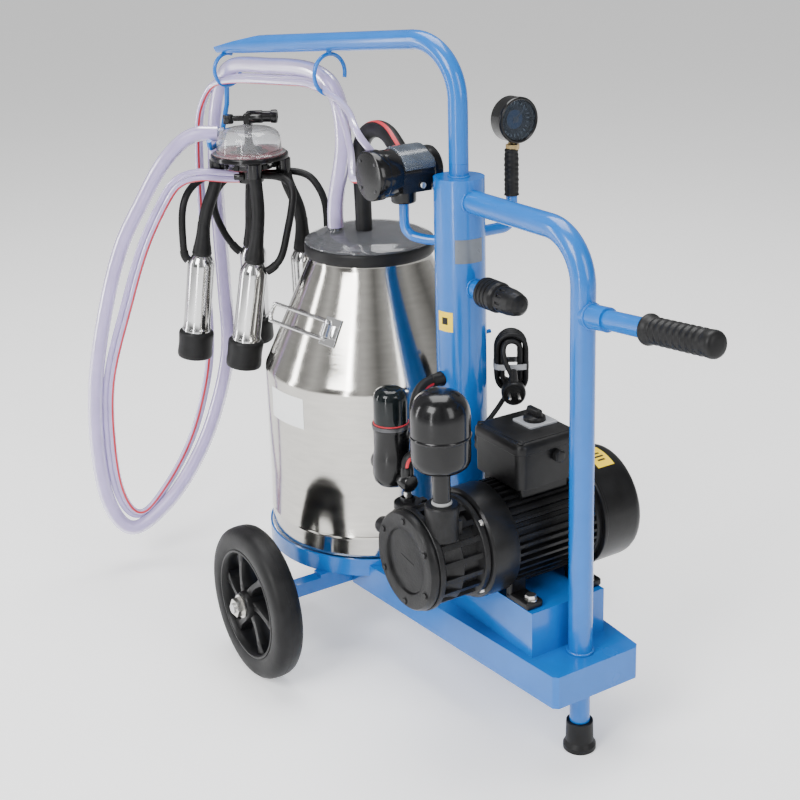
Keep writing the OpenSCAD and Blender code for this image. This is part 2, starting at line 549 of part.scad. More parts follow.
// ---------- bucket ----------
neck_r = 92; neck_z = 585;
function cone_r(z) = bucket_r - 1 - (z - shoulder_z)/(neck_z - 12 - shoulder_z)*(bucket_r - neck_r - 2);
clip_az = -61.4; clip_z = 491;
cone_tilt = atan2(bucket_r - neck_r - 2, neck_z - 12 - shoulder_z);
module bucket() color(steel) place() translate([bucket_x, 0, 0]) {
    w = bucket_wall;
    rotate_extrude($fn = 96) polygon([[0, deck_z], [bucket_r - 5, deck_z], [bucket_r - 1, deck_z + 1.5], [bucket_r, deck_z + 5],
        [bucket_r, shoulder_z - 6], [bucket_r - 1, shoulder_z], [neck_r + 1, neck_z - 12], [neck_r - 0.6, neck_z - 7], [neck_r, neck_z - 2], [neck_r - 1, neck_z], [neck_r - w - 2, neck_z],
        [neck_r - w - 1.6, neck_z - 8], [neck_r - w, neck_z - 13], [bucket_r - w - 1, shoulder_z - 0.4], [bucket_r - w, shoulder_z - 6.4],
        [bucket_r - w, deck_z + 5.5], [bucket_r - w - 1.5, deck_z + 2.6], [bucket_r - 5.6, deck_z + w], [0, deck_z + w]]);
    // folded clip that holds the handle wire
    clip_frame() difference() {
        union() {
            translate([-0.9, -7, -21]) cube([2.1, 20, 42]);
            translate([6, 0, -9.6]) cylinder(r = 6, h = 19.2, $fn = 40);
            translate([0, -6, -9.6]) cube([6, 12, 19.2]);
        }
        translate([6, 0, -12]) cylinder(r = 3.05, h = 24, $fn = 32);
    }
}
// clip's frame: x out of the cone, -y along the loop, z up the hinge line
module clip_frame() rotate([0, 0, clip_az]) translate([cone_r(clip_z), 0, clip_z]) rotate([0, -cone_tilt, 0]) rotate([-9, 0, 0]) children();
loop_l = 110; loop_w = 13;
module bucket_handle() color(steel) place() translate([bucket_x, 0, 0]) clip_frame() translate([6, 0, 0]) rotate([0, 0, -10]) {
    // wire loop that hangs against the cone
    cylinder(r = 3, h = 2*loop_w, center = true, $fn = 32);
    for (s = [-1, 1]) {
        translate([0, 0, s*loop_w]) sphere(r = 3.15, $fn = 32);
        translate([0, 0, s*loop_w]) rotate([90, 0, 0]) cylinder(r = 3, h = loop_l, $fn = 32);
        translate([0, -loop_l, s*loop_w]) sphere(r = 3.15, $fn = 32);
    }
    translate([0, -loop_l, 0]) cylinder(r = 3, h = 2*loop_w, center = true, $fn = 32);
}

n1 = [-257, -47]; n2 = [-226, -17];
module lid_gasket() color(black) place() translate([bucket_x, 0, 0]) rotate_extrude($fn = 96)
    polygon([[neck_r + 0.3, 579], [96, 579], [97, 580], [97, 596], [96, 597], [87, 597], [86, 596], [86, 585.3], [neck_r + 0.3, 585.3]]);
module lid() color([0.5, 0.52, 0.56, 0.7]) place() difference() {
    union() {
        translate([bucket_x, 0, 0]) rotate_extrude($fn = 96) polygon([[90, 597], [96, 597], [96.5, 600], [92, 602.5], [84, 607], [66, 612.5],
            [44, 616], [22, 617.6], [0, 618], [0, 615], [22, 614.6], [44, 613], [65, 609.6], [82, 604.4], [90, 599.5]]);
        for (n = [n1, n2]) translate([n[0], n[1], 611]) cylinder(r = 9, h = 19, $fn = 40);
    }
    for (n = [n1, n2]) translate([n[0], n[1], 600]) cylinder(r = 6.5, h = 60, $fn = 40);
}

// ---------- hose arm ----------
arm_az = 191; ca = cos(arm_az); sa = sin(arm_az); arm_wall = 1.05;
function ar(r, z) = [r*ca, r*sa, z];
arm_drop = 5; bend_r = 76;
arm_z0 = 834; // height where the bend starts
module arm_tube() color(blue) place() rotate([0, 0, arm_az]) {
    ro = arm_d/2; ri = stub_r + 0.05;
    translate([0, 0, 751.2]) difference() {
        cylinder(r = ro, h = arm_z0 - 751.2);
        translate([0, 0, -1]) cylinder(r = ri, h = 100);
    }
    // bend, a little over 95 degrees so that it laps into both straight tubes
    translate([bend_r, 0, arm_z0]) rotate([90, 0, 0]) rotate([0, 0, 84]) rotate_extrude(angle = 97, $fn = 96)
        translate([bend_r, 0]) difference() {
            circle(r = ro - 0.2, $fn = 48);
            circle(r = ri + 0.2, $fn = 48);
        }
    translate([bend_r, 0, arm_z0]) rotate([0, 90 + arm_drop, 0]) translate([-bend_r, 0, 0]) {
        difference() {
            cylinder(r = ro, h = 322);
            translate([0, 0, -1]) cylinder(r = ri, h = 340);
        }
        // squashed end that carries the front hose ring
        intersection() {
            translate([0, 0, 318]) cylinder(r = ro - 0.2, h = 120);
            rotate([90, 0, 0]) linear_extrude(height = 40, center = true)
                polygon([[-14, 317], [14, 317], [14, 335], [11, 438], [1.5, 438], [-6, 392], [-14, 330]]);
        }
    }
}
ring1 = [-494, -96, 835]; ring2 = [-254, -49, 848];
module c_ring(p, ro, wire, start) translate(p) rotate([0, 0, arm_az]) rotate([90, 0, 90]) rotate([0, 0, start]) {
    rotate_extrude(angle = 300, $fn = 64) translate([ro - wire/2, 0]) circle(d = wire, $fn = 24);
}
module hose_rings() color(blue) place() {
    c_ring(ring1, 28, 6, 172);
    c_ring(ring2, 32, 6, 255);
    // short posts up to the arm
    translate([ring1[0], ring1[1], ring1[2] + 23]) cylinder(d = 8, h = 9, $fn = 24);
    translate([ring2[0], ring2[1], ring2[2] + 27]) cylinder(d = 8, h = 7, $fn = 24);
    // hook rod that carries the claw
    swept([[-498, -97, 809], [-500, -98, 780], cl(42, 36, 752), cl(45, 33, 734), cl(49, 25, 723), cl(54, 14, 718.5), cl(57.5, 2, 717.5), cl(59, -9, 718.5),
        cl(59, -18, 724), cl(59, -22, 732)], 4, 4, 12, [0, 1, 0]);
}

// ---------- hoses held by the arm ----------
milk_pts = concat([for (p = [[54.4, 0, 740], [66, 0, 740], [84, 0, 739], [107, 0, 726], [140, 0, 690], [176, 0, 630], [213, 0, 560],
        [245, 0, 460], [272, 0, 335], [279, 0, 215], [267, 0, 115], [232, 10, 66], [173, 35, 105], [124, 60, 175],
        [90, 78, 255], [66, 88, 355], [66, 92, 460], [68, 92, 562], [68, 86, 660]]) cl(p[0], p[1], p[2])],
    [[-549, -100, 706], [-536, -102, 752], [-520, -100, 798], [-502, -98, 828], [-478, -94, 842],
     [-446, -87, 847], [-395, -77, 849], [-340, -66, 852], [-298, -58, 851], [-272, -53, 845], [-252, -49, 834], [-238, -46, 812],
     [-230, -45, 782], [-229, -45, 748], [-238, -46, 710], [-250, -47, 675], [-257, -47, 648], [-257, -47, 630.2]]);
pulse_a = [for (p = [[24.4, -14, 674], [34, -14, 674], [43, -17, 675.5], [55, -20, 678], [76, -19, 679], [107, -13, 671], [130, -8, 648], [173, -8, 566], [205, -4, 472],
        [247, 5, 334], [255, 5, 211], [247, 5, 129], [221, 18, 88], [180, 44, 128], [140, 66, 195], [112, 80, 270],
        [96, 88, 354], [95, 92, 460], [95, 92, 563], [93, 85, 665], [88, 72, 735]]) cl(p[0], p[1], p[2])];
// ends of the two pulse nozzles on the pulsator
pn1 = [-73.74, -98.1, 775.42]; pd1 = [-0.2079, -0.561, 0.8012];
pn2 = [-107.7, -94, 722.87]; pd2 = [-0.985, 0, -0.174];
module milk_hose() color(clear) place() swept(milk_pts, milk_d/2, milk_d/2, 12, [0, 0, 1]);
module pulse_hose() color([0.75, 0.72, 0.85, 0.6]) place() {
    swept(concat(pulse_a, [[-548, -120, 772], [-530, -113, 802], [-512, -107, 816], [-492, -104, 820], [-450, -95, 826], [-395, -82, 829], [-340, -70, 832], [-292, -62, 834], [-262, -60, 830], [-246, -60, 820]]),
        pulse_d, pulse_d/2, 12, [0, 0, 1]);
    // the two tubes part in front of the pulsator
    swept(smooth([[-250, -58, 828], [-236, -58, 822], [-214, -60, 804], [-190, -64, 782], [-168, -70, 758], [-152, -77, 742], [-137, -86, 730], pn2 + 16*pd2, pn2 + 8*pd2, pn2 + 0.4*pd2]),
        pulse_d/2, pulse_d/2, 10, [0, 1, 0]);
    swept(smooth([[-250, -62, 822], [-228, -66, 824], [-196, -72, 822], [-160, -82, 818], [-122, -94, 811], [-94, -106, 803], pn1 + 16*pd1, pn1 + 8*pd1, pn1 + 0.4*pd1]),
        pulse_d/2, pulse_d/2, 10, [0, 1, 0]);
}
module vacuum_hose() color(black) place()
    swept(smooth([[-226, -17, 630.2], [-226, -17, 650], [-228, -17, 690], [-230, -17, 724], [-223, -17, 750], [-200, -18, 769], [-166, -21, 777],
        [-136, -25, 774], [-119, -27.5, 766], [-109, -28, 759.5], [-103.4, -28, 754.8]]), 12.5, 12.5, 12, [0, 1, 0]);

// ---------- claw and teat cups ----------
module claw_place() translate([claw_x, claw_y, 0]) rotate([0, 0, claw_az]) children();
// each cup: top centre, lean along the claw's two directions, spout under the claw
cups = [[84, 5, 7.4, 0, 52, 0], [-76, -14, 0, 7.7, -52, 0], [9, -49, 1.6, 9.6, 3, -46], [-6, 60, 8.9, 0, -12, 46]];
cup_top = 548;
module cup_frame(c) translate([c[0], c[1], cup_top]) rotate([-c[3], -c[2], 0]) translate([0, 0, -cup_top]) children();
// point of a cup's own axis, h above its top
function cup_up(c, h) = [c[0] - h*sin(c[2]), c[1] + h*sin(c[3])*cos(c[2]), cup_top + h*cos(c[2])*cos(c[3])];
module claw_bowl() color(black) place() claw_place() difference() {
    union() {
        rotate_extrude($fn = 72) polygon([[0, 662], [20, 662], [21, 664], [21, 684], [38, 686], [42, 692], [52, 699], [61, 701], [61, 706.5], [59, 708], [0, 708]]);
        // port of the twin pulse tube
        translate([8, 14, 674]) rotate([0, 90, 0]) cylinder(r = 7, h = 16, $fn = 32);
        // four spouts for the liner tubes
        for (c = cups) translate([c[4], c[5], 690]) cylinder(r = 8, h = 12, $fn = 32);
    }
    translate([0, 0, 689]) cylinder(r = 30, h = 40, $fn = 72);
}
module claw_dome() color([0.8, 0.8, 0.82, 0.5]) place() claw_place() difference() {
    union() {
        rotate_extrude($fn = 72) polygon([[42, 708], [57, 708], [57, 711], [51, 713], [50, 728], [46, 740], [36, 747], [20, 750], [8, 751], [8, 754],
            [6, 754], [6, 748], [18, 747], [34, 744], [43.5, 737.5], [47, 727], [47, 713], [42, 711]]);
        // milk outlet nozzle
        translate([38, 0, 740]) rotate([0, 90, 0]) cylinder(r = 9, h = 16.2, $fn = 32);
    }
    translate([0, 0, 700]) cylinder(r = 6.05, h = 60, $fn = 32);
}
module claw_valve() color(black) place() claw_place() {
    translate([0, 0, 700]) cylinder(r = 6, h = 62, $fn = 32);
    translate([0, 0, 712]) cylinder(r = 20, h = 4, $fn = 48);
    // shut-off lever
    translate([-6, -6, 756]) cube([12, 12, 14]);
    translate([-4, -5, 758]) cube([36, 10, 10]);
    translate([30, 0, 755]) cylinder(r = 8, h = 14, $fn = 32);
    translate([-47, 0, 765]) rotate([0, 90, 0]) cylinder(r = 10, h = 44, $fn = 40);
}
// one liner with its milk tube, mouth at the bottom
module cup_liners() color([0.1, 0.1, 0.11]) place() claw_place() for (c = cups) {
    difference() {
        union() {
            // barrel, neck through the shell's top, and head
            cup_frame(c) rotate_extrude($fn = 64) polygon([[0, 412], [mouth_d/2 + 2.5, 412], [mouth_d/2 + 2.5, 532], [10.8, 540], [10.8, 548.2], [15, 548.2], [14, 560], [11, 572], [0, 572]]);
            cup_frame(c) difference() {
                rotate_extrude($fn = 64) polygon([[mouth_d/2, 375], [25, 375], [28, 378.5], [27, 398], [28, 415], [26, 420], [mouth_d/2, 420]]);
                translate([0, 0, 382]) cylinder(r = 20, h = 30, $fn = 48);
            }
            swept(smooth([cup_up(c, 14), cup_up(c, 40), cup_up(c, 70), (cup_up(c, 95) + [c[4], c[5], 640])/2, [c[4], c[5], 668], [c[4], c[5], 684], [c[4], c[5], 698]]), 10, 10, 12, [0, 1, 0]);
        }
        cup_frame(c) translate([0, 0, 360]) cylinder(r = mouth_d/2, h = 168, $fn = 48);
        cup_frame(c) translate([0, 0, 520]) cylinder(r = 6, h = 36, $fn = 32);
    }
}
module cup_shells() color(steel) place() claw_place() for (c = cups) cup_frame(c) {
    rotate_extrude($fn = 64) polygon([[shell_d/2 - 1.5, 420], [shell_d/2 + 1, 420], [shell_d/2 + 1, 424], [shell_d/2, 426], [shell_d/2, 532], [19, 541],
        [15, 547], [12.5, 548], [11, 548], [11, 545], [13, 545], [17, 540], [shell_d/2 - 1.5, 531]]);
    // side nipple of the pulse tube
    rotate([0, 0, nip_az(c)]) translate([shell_d/2 - 4, 0, 533]) rotate([0, 60, 0]) cylinder(r = 4, h = 10, $fn = 24);
}
// direction of each cup's pulse nipple
function nip_az(c) = c[0] > 50 ? 0 : c[0] < -50 ? 180 : c[1] > 0 ? 180 : 0;
// points of the four pulse tubes, in the claw's own frame
pt = [[[112, 5, 540], [113, 3, 560], [112, 0, 612], [104, -10, 642], [86, -18, 661], [62, -20, 670], [40, -16, 668], [19, -9, 668]],
    [[-105, -16, 545], [-114, -16, 560], [-116, -14, 595], [-114, -10, 625], [-106, -8, 648], [-90, -14, 667], [-64, -18, 674], [-40, -12, 673], [-20, -8, 673]],
    [[38, -51, 541], [48, -52, 556], [59, -54, 576], [68, -54, 603], [66, -48, 630], [50, -46, 654], [26, -42, 668], [8, -26, 674], [3, -20.5, 674.5]],
    [[-34, 60, 539], [-43, 60, 546], [-51, 58, 562], [-58, 56, 590], [-66, 52, 625], [-69, 44, 652], [-62, 34, 668], [-44, 22, 674], [-19, 10, 674]]];
module pulse_tubes() color([0.16, 0.16, 0.17]) place() claw_place() for (t = pt) swept(smooth(t), 6, 6, 10, [0, 1, 0]);

platform();
axle_beam();
bucket_hoop();
column_tank();
upright_frame();
motor_plinth();
foot_cap();
axle_shaft();
axle_nuts();
branch_pipes();
pulsator_body();
pulsator_cover();
gauge_case();
gauge_lens();
gauge_sleeve();
regulator_body();
pump_housing();
pump_cover();
exhaust_muffler();
oiler_body();
oiler_bowl();
suction_pipe();
suction_hose();
motor_body();
fan_cover();
terminal_box();
box_lid();
motor_bolts();
cable_gland();
vacuum_hose();
power_cord();
cord_hank();
plug();
near_tyre();
near_rim();
far_tyre();
far_rim();
motor_rotor();
fan();
pump_rotor();
switch_knob();
handle_tube();
handle_grip();
arm_tube();
hose_rings();
milk_hose();
pulse_hose();
bucket();
bucket_handle();
lid();
lid_gasket();
claw_bowl();
claw_dome();
cup_liners();
cup_shells();
pulse_tubes();
claw_valve();
gauge_needle();
regulator_cap();
pulsator_screw();
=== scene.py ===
import bpy, bmesh, math
import numpy as np
from mathutils import Vector, Matrix


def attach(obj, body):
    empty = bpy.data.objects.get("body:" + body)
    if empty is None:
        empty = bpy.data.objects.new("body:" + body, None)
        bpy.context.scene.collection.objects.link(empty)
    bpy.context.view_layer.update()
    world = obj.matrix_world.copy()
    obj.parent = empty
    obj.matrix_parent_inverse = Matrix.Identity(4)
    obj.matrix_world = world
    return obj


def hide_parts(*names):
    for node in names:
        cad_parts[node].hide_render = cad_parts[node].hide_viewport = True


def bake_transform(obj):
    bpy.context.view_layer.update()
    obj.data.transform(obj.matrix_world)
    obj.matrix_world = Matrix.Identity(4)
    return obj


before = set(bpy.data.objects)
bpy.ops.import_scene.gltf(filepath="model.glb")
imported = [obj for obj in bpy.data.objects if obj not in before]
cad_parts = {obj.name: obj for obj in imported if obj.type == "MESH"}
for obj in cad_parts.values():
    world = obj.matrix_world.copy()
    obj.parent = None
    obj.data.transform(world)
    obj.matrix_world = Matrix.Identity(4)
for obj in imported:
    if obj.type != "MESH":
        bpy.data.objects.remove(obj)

R = math.radians
scene = bpy.context.scene
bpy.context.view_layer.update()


def M(x, y, z):
    """A point given in the model's own millimetres (column axis at x = 0), in the row frame."""
    return Vector(((x + 27.61) / 1000, y / 1000, z / 1000))


S1, S2, Q1, Q2 = -0.548, -0.836, -0.836, 0.548


def CL(s, q, z):
    """A point in the claw's own directions."""
    return M(-450 + s * S1 + q * Q1, -88 + s * S2 + q * Q2, z)


# ------------------------------------------------------------------ materials
def material(name, color, rough=0.4, metal=0.0, vary=0.06, scale=60.0, rvary=0.08, bump=0.0, bscale=200.0,
             color2=None, trans=0.0, ior=1.5, coat=0.0, coat_rough=0.1, dirt=0.0, stretch=None, alpha=1.0, spec=0.5):
    m = bpy.data.materials.new(name)
    m.use_nodes = True
    nt = m.node_tree
    bsdf = nt.nodes["Principled BSDF"]
    link = nt.links.new
    tex = nt.nodes.new("ShaderNodeTexCoord")
    mp = nt.nodes.new("ShaderNodeMapping")
    link(tex.outputs["Object"], mp.inputs["Vector"])
    if stretch:
        mp.inputs["Scale"].default_value = stretch
    n1 = nt.nodes.new("ShaderNodeTexNoise")
    n1.inputs["Scale"].default_value = scale
    n1.inputs["Detail"].default_value = 5.0
    link(mp.outputs["Vector"], n1.inputs["Vector"])
    ramp = nt.nodes.new("ShaderNodeValToRGB")
    c = Vector(color[:3])
    c2 = Vector(color2[:3]) if color2 else None
    lo = c * (1 - vary)
    hi = c2 if c2 else Vector([min(1.0, v * (1 + vary) + 0.002) for v in c])
    ramp.color_ramp.elements[0].position = 0.3
    ramp.color_ramp.elements[1].position = 0.72
    ramp.color_ramp.elements[0].color = (*lo, 1)
    ramp.color_ramp.elements[1].color = (*hi, 1)
    link(n1.outputs["Fac"], ramp.inputs["Fac"])
    out = ramp.outputs["Color"]
    if dirt > 0:
        n3 = nt.nodes.new("ShaderNodeTexNoise")
        n3.inputs["Scale"].default_value = 14.0
        n3.inputs["Detail"].default_value = 8.0
        n3.inputs["Roughness"].default_value = 0.7
        link(tex.outputs["Object"], n3.inputs["Vector"])
        r3 = nt.nodes.new("ShaderNodeValToRGB")
        r3.color_ramp.elements[0].position = 0.55
        r3.color_ramp.elements[1].position = 0.8
        r3.color_ramp.elements[0].color = (0, 0, 0, 1)
        r3.color_ramp.elements[1].color = (dirt, dirt, dirt, 1)
        link(n3.outputs["Fac"], r3.inputs["Fac"])
        mix = nt.nodes.new("ShaderNodeMixRGB")
        mix.inputs["Color2"].default_value = (0.22, 0.2, 0.17, 1)
        link(r3.outputs["Color"], mix.inputs["Fac"])
        link(out, mix.inputs["Color1"])
        out = mix.outputs["Color"]
    link(out, bsdf.inputs["Base Color"])
    n2 = nt.nodes.new("ShaderNodeTexNoise")
    n2.inputs["Scale"].default_value = scale * 0.6
    n2.inputs["Detail"].default_value = 3.0
    link(mp.outputs["Vector"], n2.inputs["Vector"])
    mr = nt.nodes.new("ShaderNodeMapRange")
    mr.inputs["To Min"].default_value = max(0.02, rough - rvary)
    mr.inputs["To Max"].default_value = min(1.0, rough + rvary)
    link(n2.outputs["Fac"], mr.inputs["Value"])
    link(mr.outputs["Result"], bsdf.inputs["Roughness"])
    if bump > 0:
        nb = nt.nodes.new("ShaderNodeTexNoise")
        nb.inputs["Scale"].default_value = bscale
        nb.inputs["Detail"].default_value = 4.0
        link(mp.outputs["Vector"], nb.inputs["Vector"])
        bp = nt.nodes.new("ShaderNodeBump")
        bp.inputs["Strength"].default_value = bump
        bp.inputs["Distance"].default_value = 0.001
        link(nb.outputs["Fac"], bp.inputs["Height"])
        link(bp.outputs["Normal"], bsdf.inputs["Normal"])
    bsdf.inputs["Metallic"].default_value = metal
    bsdf.inputs["Transmission Weight"].default_value = trans
    bsdf.inputs["IOR"].default_value = ior
    bsdf.inputs["Coat Weight"].default_value = coat
    bsdf.inputs["Coat Roughness"].default_value = coat_rough
    bsdf.inputs["Alpha"].default_value = alpha
    bsdf.inputs["Specular IOR Level"].default_value = spec
    return m


def srgb(r, g, b):
    f = lambda v: (v / 255 / 12.92) if v / 255 <= 0.04045 else ((v / 255 + 0.055) / 1.055) ** 2.4
    return (f(r), f(g), f(b))


BLUE = material("blue_paint", srgb(0, 98, 180), 0.24, vary=0.05, scale=25, bump=0.06, bscale=420, coat=0.35, coat_rough=0.08, spec=0.35)
STEEL = material("stainless", (0.50, 0.485, 0.45), 0.13, 1.0, vary=0.05, scale=30, rvary=0.05, bump=0.03, bscale=60, stretch=(1, 1, 6))
POLISH = material("polished_steel", (0.60, 0.60, 0.60), 0.13, 1.0, vary=0.03, scale=30, rvary=0.03, bump=0.02, bscale=50)
ZINC = material("zinc", (0.66, 0.65, 0.62), 0.3, 1.0, vary=0.12, scale=90, rvary=0.1, bump=0.08, bscale=300)
MACHINED = material("machined_steel", (0.6, 0.6, 0.6), 0.3, 1.0, vary=0.08, scale=80, rvary=0.08, bump=0.05, bscale=240)
BLACKP = material("black_paint", (0.0055, 0.0055, 0.006), 0.34, vary=0.3, scale=40, rvary=0.08, bump=0.1, bscale=260, coat=0.04, spec=0.22)
GLOSS = material("black_gloss", (0.004, 0.004, 0.0045), 0.2, vary=0.2, scale=30, rvary=0.04, bump=0.02, bscale=120, coat=0.12, coat_rough=0.08, spec=0.25)
CAST = material("black_casting", (0.0065, 0.0065, 0.007), 0.4, vary=0.35, scale=70, rvary=0.1, bump=0.3, bscale=380, spec=0.22)
RUBBER = material("black_rubber", (0.0065, 0.0065, 0.007), 0.46, vary=0.25, scale=50, rvary=0.1, bump=0.08, bscale=260, spec=0.22)
TYRE = material("tyre_rubber", (0.0075, 0.0075, 0.008), 0.5, vary=0.3, scale=45, rvary=0.1, bump=0.12, bscale=240, dirt=0.03, spec=0.2)
PLASTIC = material("black_plastic", (0.006, 0.006, 0.0065), 0.38, vary=0.2, scale=60, rvary=0.06, bump=0.06, bscale=500, spec=0.24)
GREYP = material("grey_plastic", srgb(150, 152, 156), 0.4, vary=0.05, scale=60, bump=0.05, bscale=400)
BRASS = material("brass", (0.62, 0.45, 0.2), 0.28, 1.0, vary=0.1, scale=70, rvary=0.08)
WHITE = material("white_label", srgb(236, 238, 238), 0.4, vary=0.02, scale=40)
YELLOW = material("yellow_label", srgb(250, 212, 0), 0.4, vary=0.03, scale=40)
RED = material("red_stripe", srgb(196, 40, 52), 0.4, vary=0.06, scale=60)
MAROON = material("maroon_disc", srgb(120, 26, 44), 0.35, vary=0.08, scale=60)
TAPE = material("white_tape", srgb(150, 151, 150), 0.5, vary=0.05, scale=160, bump=0.1, bscale=500)
DARKMETAL = material("dark_metal", (0.08, 0.08, 0.085), 0.35, 0.9, vary=0.1, scale=60)
HOSE = material("clear_hose", srgb(192, 180, 222), 0.2, vary=0.06, scale=30, rvary=0.05, trans=0.42, ior=1.42, bump=0.02, bscale=120)
CLEAR = material("clear_dome", (0.93, 0.94, 0.96), 0.06, vary=0.02, scale=40, rvary=0.02, trans=0.92, ior=1.38)
SMOKE = material("smoke_lid", (0.42, 0.43, 0.46), 0.1, vary=0.05, scale=40, rvary=0.03, trans=0.85, ior=1.4)
GLASSG = material("cover_glass", (0.20, 0.24, 0.30), 0.14, vary=0.35, scale=38, rvary=0.08, trans=0.7, ior=1.42, bump=0.2, bscale=70)
BOWL = material("bowl_glass", (0.006, 0.009, 0.010), 0.1, vary=0.2, scale=40, rvary=0.03, trans=0.2, ior=1.4, spec=0.35)
LENS = material("lens_glass", (0.30, 0.36, 0.44), 0.05, vary=0.04, scale=40, rvary=0.02, trans=0.95, ior=1.25)
GREYL = material("grey_plate", srgb(104, 110, 118), 0.3, 0.4, vary=0.05, scale=90)
DIAL = material("gauge_face", srgb(10, 14, 24), 0.3, vary=0.15, scale=70)
DIALB = material("gauge_face_blue", srgb(70, 112, 160), 0.3, vary=0.15, scale=70)


# ------------------------------------------------------------------ builders
def put(obj, mats, body, smooth=38.0, replaces=(), bevel=0.0, segs=2):
    if obj.name not in scene.collection.objects:
        scene.collection.objects.link(obj)
    for m in (mats if isinstance(mats, (list, tuple)) else [mats]):
        obj.data.materials.append(m)
    me = obj.data
    if obj.type == "MESH":
        for p in me.polygons:
            p.use_smooth = True
        if smooth is not None:
            bm = bmesh.new(); bm.from_mesh(me)
            lim = R(smooth)
            for e in bm.edges:
                if len(e.link_faces) == 2:
                    e.smooth = e.calc_face_angle(0) < lim
                else:
                    e.smooth = False
            bm.to_mesh(me); bm.free()
        if bevel > 0:
            bv = obj.modifiers.new("bevel", "BEVEL")
            bv.width = bevel; bv.segments = segs; bv.limit_method = "ANGLE"; bv.angle_limit = R(40)
            bv.harden_normals = False
    if body:
        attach(obj, body)
    if replaces:
        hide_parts(*replaces)
    return obj


def mesh_obj(name, verts, faces, mat_idx=None):
    me = bpy.data.meshes.new(name)
    me.from_pydata([tuple(v) for v in verts], [], faces)
    if mat_idx is not None:
        me.polygons.foreach_set("material_index", mat_idx)
    me.update()
    bm = bmesh.new(); bm.from_mesh(me)
    bmesh.ops.remove_doubles(bm, verts=bm.verts, dist=1e-7)
    bmesh.ops.recalc_face_normals(bm, faces=bm.faces)
    bm.to_mesh(me); bm.free()
    return bpy.data.objects.new(name, me)


def frame_axes(direction, hint=(0, 0, 1)):
    d = Vector(direction).normalized()
    h = Vector(hint)
    if abs(d.dot(h.normalized())) > 0.98:
        h = Vector((1, 0, 0))
    u = (h - d * h.dot(d)).normalized()
    v = d.cross(u)
    return d, u, v


def lathe(name, profile, origin, axis=(0, 0, 1), segs=96, hint=(0, 0, 1), closed=False, fn=None):
    """Turns (radius, height) in mm about an axis through origin. fn(radius, height, angle) may change a radius."""
    d, u, v = frame_axes(axis, hint)
    o = Vector(origin)
    vs, fs = [], []
    n = len(profile)
    for r, h in profile:
        for k in range(segs):
            a = 2 * math.pi * k / segs
            rr = r if fn is None else fn(r, h, a)
            vs.append(o + d * (h / 1000) + (u * math.cos(a) + v * math.sin(a)) * (rr / 1000))
    m = n if closed else n - 1
    for i in range(m):
        j = (i + 1) % n
        for k in range(segs):
            k2 = (k + 1) % segs
            fs.append((i * segs + k, i * segs + k2, j * segs + k2, j * segs + k))
    if not closed:
        if profile[0][0] > 0.01:
            fs.append(tuple(range(segs)))
        if profile[-1][0] > 0.01:
            fs.append(tuple(range((n - 1) * segs, n * segs)))
    return mesh_obj(name, vs, fs)


def catmull(pts, per=8):
    p = [Vector(q) for q in pts]
    p = [p[0] * 2 - p[1]] + p + [p[-1] * 2 - p[-2]]
    out = []
    for i in range(1, len(p) - 2):
        a, b, c, d = p[i - 1], p[i], p[i + 1], p[i + 2]
        for k in range(per):
            t = k / per
            out.append(0.5 * ((2 * b) + (c - a) * t + (2 * a - 5 * b + 4 * c - d) * t * t + (3 * b - a - 3 * c + d) * t ** 3))
    out.append(p[-2])
    return out


def resample(pts, step):
    pts = [Vector(p) for p in pts]
    d = [0.0]
    for a, b in zip(pts, pts[1:]):
        d.append(d[-1] + (b - a).length)
    n = max(2, int(round(d[-1] / step)) + 1)
    out, j = [], 0
    for i in range(n):
        t = d[-1] * i / (n - 1)
        while j < len(d) - 2 and d[j + 1] < t:
            j += 1
        w = (t - d[j]) / max(1e-12, d[j + 1] - d[j])
        out.append(pts[j].lerp(pts[j + 1], w))
    return out


def soften(pts, rounds=6):
    p = [v.copy() for v in pts]
    for _ in range(rounds):
        q = [v.copy() for v in p]
        for i in range(1, len(p) - 1):
            q[i] = (p[i - 1] + p[i] * 2 + p[i + 1]) / 4
        p = q
    return p


def frames(pts, hint):
    n = len(pts)
    t = [(pts[min(i + 1, n - 1)] - pts[max(i - 1, 0)]).normalized() for i in range(n)]
    u = Vector(hint) - t[0] * Vector(hint).dot(t[0])
    u.normalize()
    us = []
    for i in range(n):
        u = (u - t[i] * u.dot(t[i])).normalized()
        us.append(u.copy())
    return t, us


def tube(name, pts, radius, hint=(0, 0, 1), sides=20, stripe=None, cap=True, section=None, twist=0.0):
    """Tube along pts. stripe = (start, end) in degrees round the section gets material 1. section = list of (x, y) in metres replaces the circle."""
    t, us = frames(pts, hint)
    n = len(pts)
    sec = section or [(radius * math.cos(2 * math.pi * k / sides), radius * math.sin(2 * math.pi * k / sides)) for k in range(sides)]
    s = len(sec)
    vs, fs, mi = [], [], []
    for i in range(n):
        a = twist * i / max(1, n - 1)
        u = us[i]
        v = t[i].cross(u)
        u2 = u * math.cos(a) + v * math.sin(a)
        v2 = t[i].cross(u2)
        for x, y in sec:
            vs.append(pts[i] + u2 * x + v2 * y)
    for i in range(n - 1):
        for k in range(s):
            k2 = (k + 1) % s
            fs.append((i * s + k, i * s + k2, (i + 1) * s + k2, (i + 1) * s + k))
            deg = math.degrees(math.atan2(sec[k][1] + sec[k2][1], sec[k][0] + sec[k2][0])) % 360
            mi.append(1 if stripe and any(a <= deg <= b for a, b in stripe) else 0)
    if cap:
        fs.append(tuple(range(s))); mi.append(0)
        fs.append(tuple(range((n - 1) * s, n * s))); mi.append(0)
    me = bpy.data.meshes.new(name)
    me.from_pydata([tuple(v) for v in vs], [], fs)
    me.polygons.foreach_set("material_index", mi)
    me.update()
    bm = bmesh.new(); bm.from_mesh(me)
    bmesh.ops.recalc_face_normals(bm, faces=bm.faces)
    bm.to_mesh(me); bm.free()
    return bpy.data.objects.new(name, me)


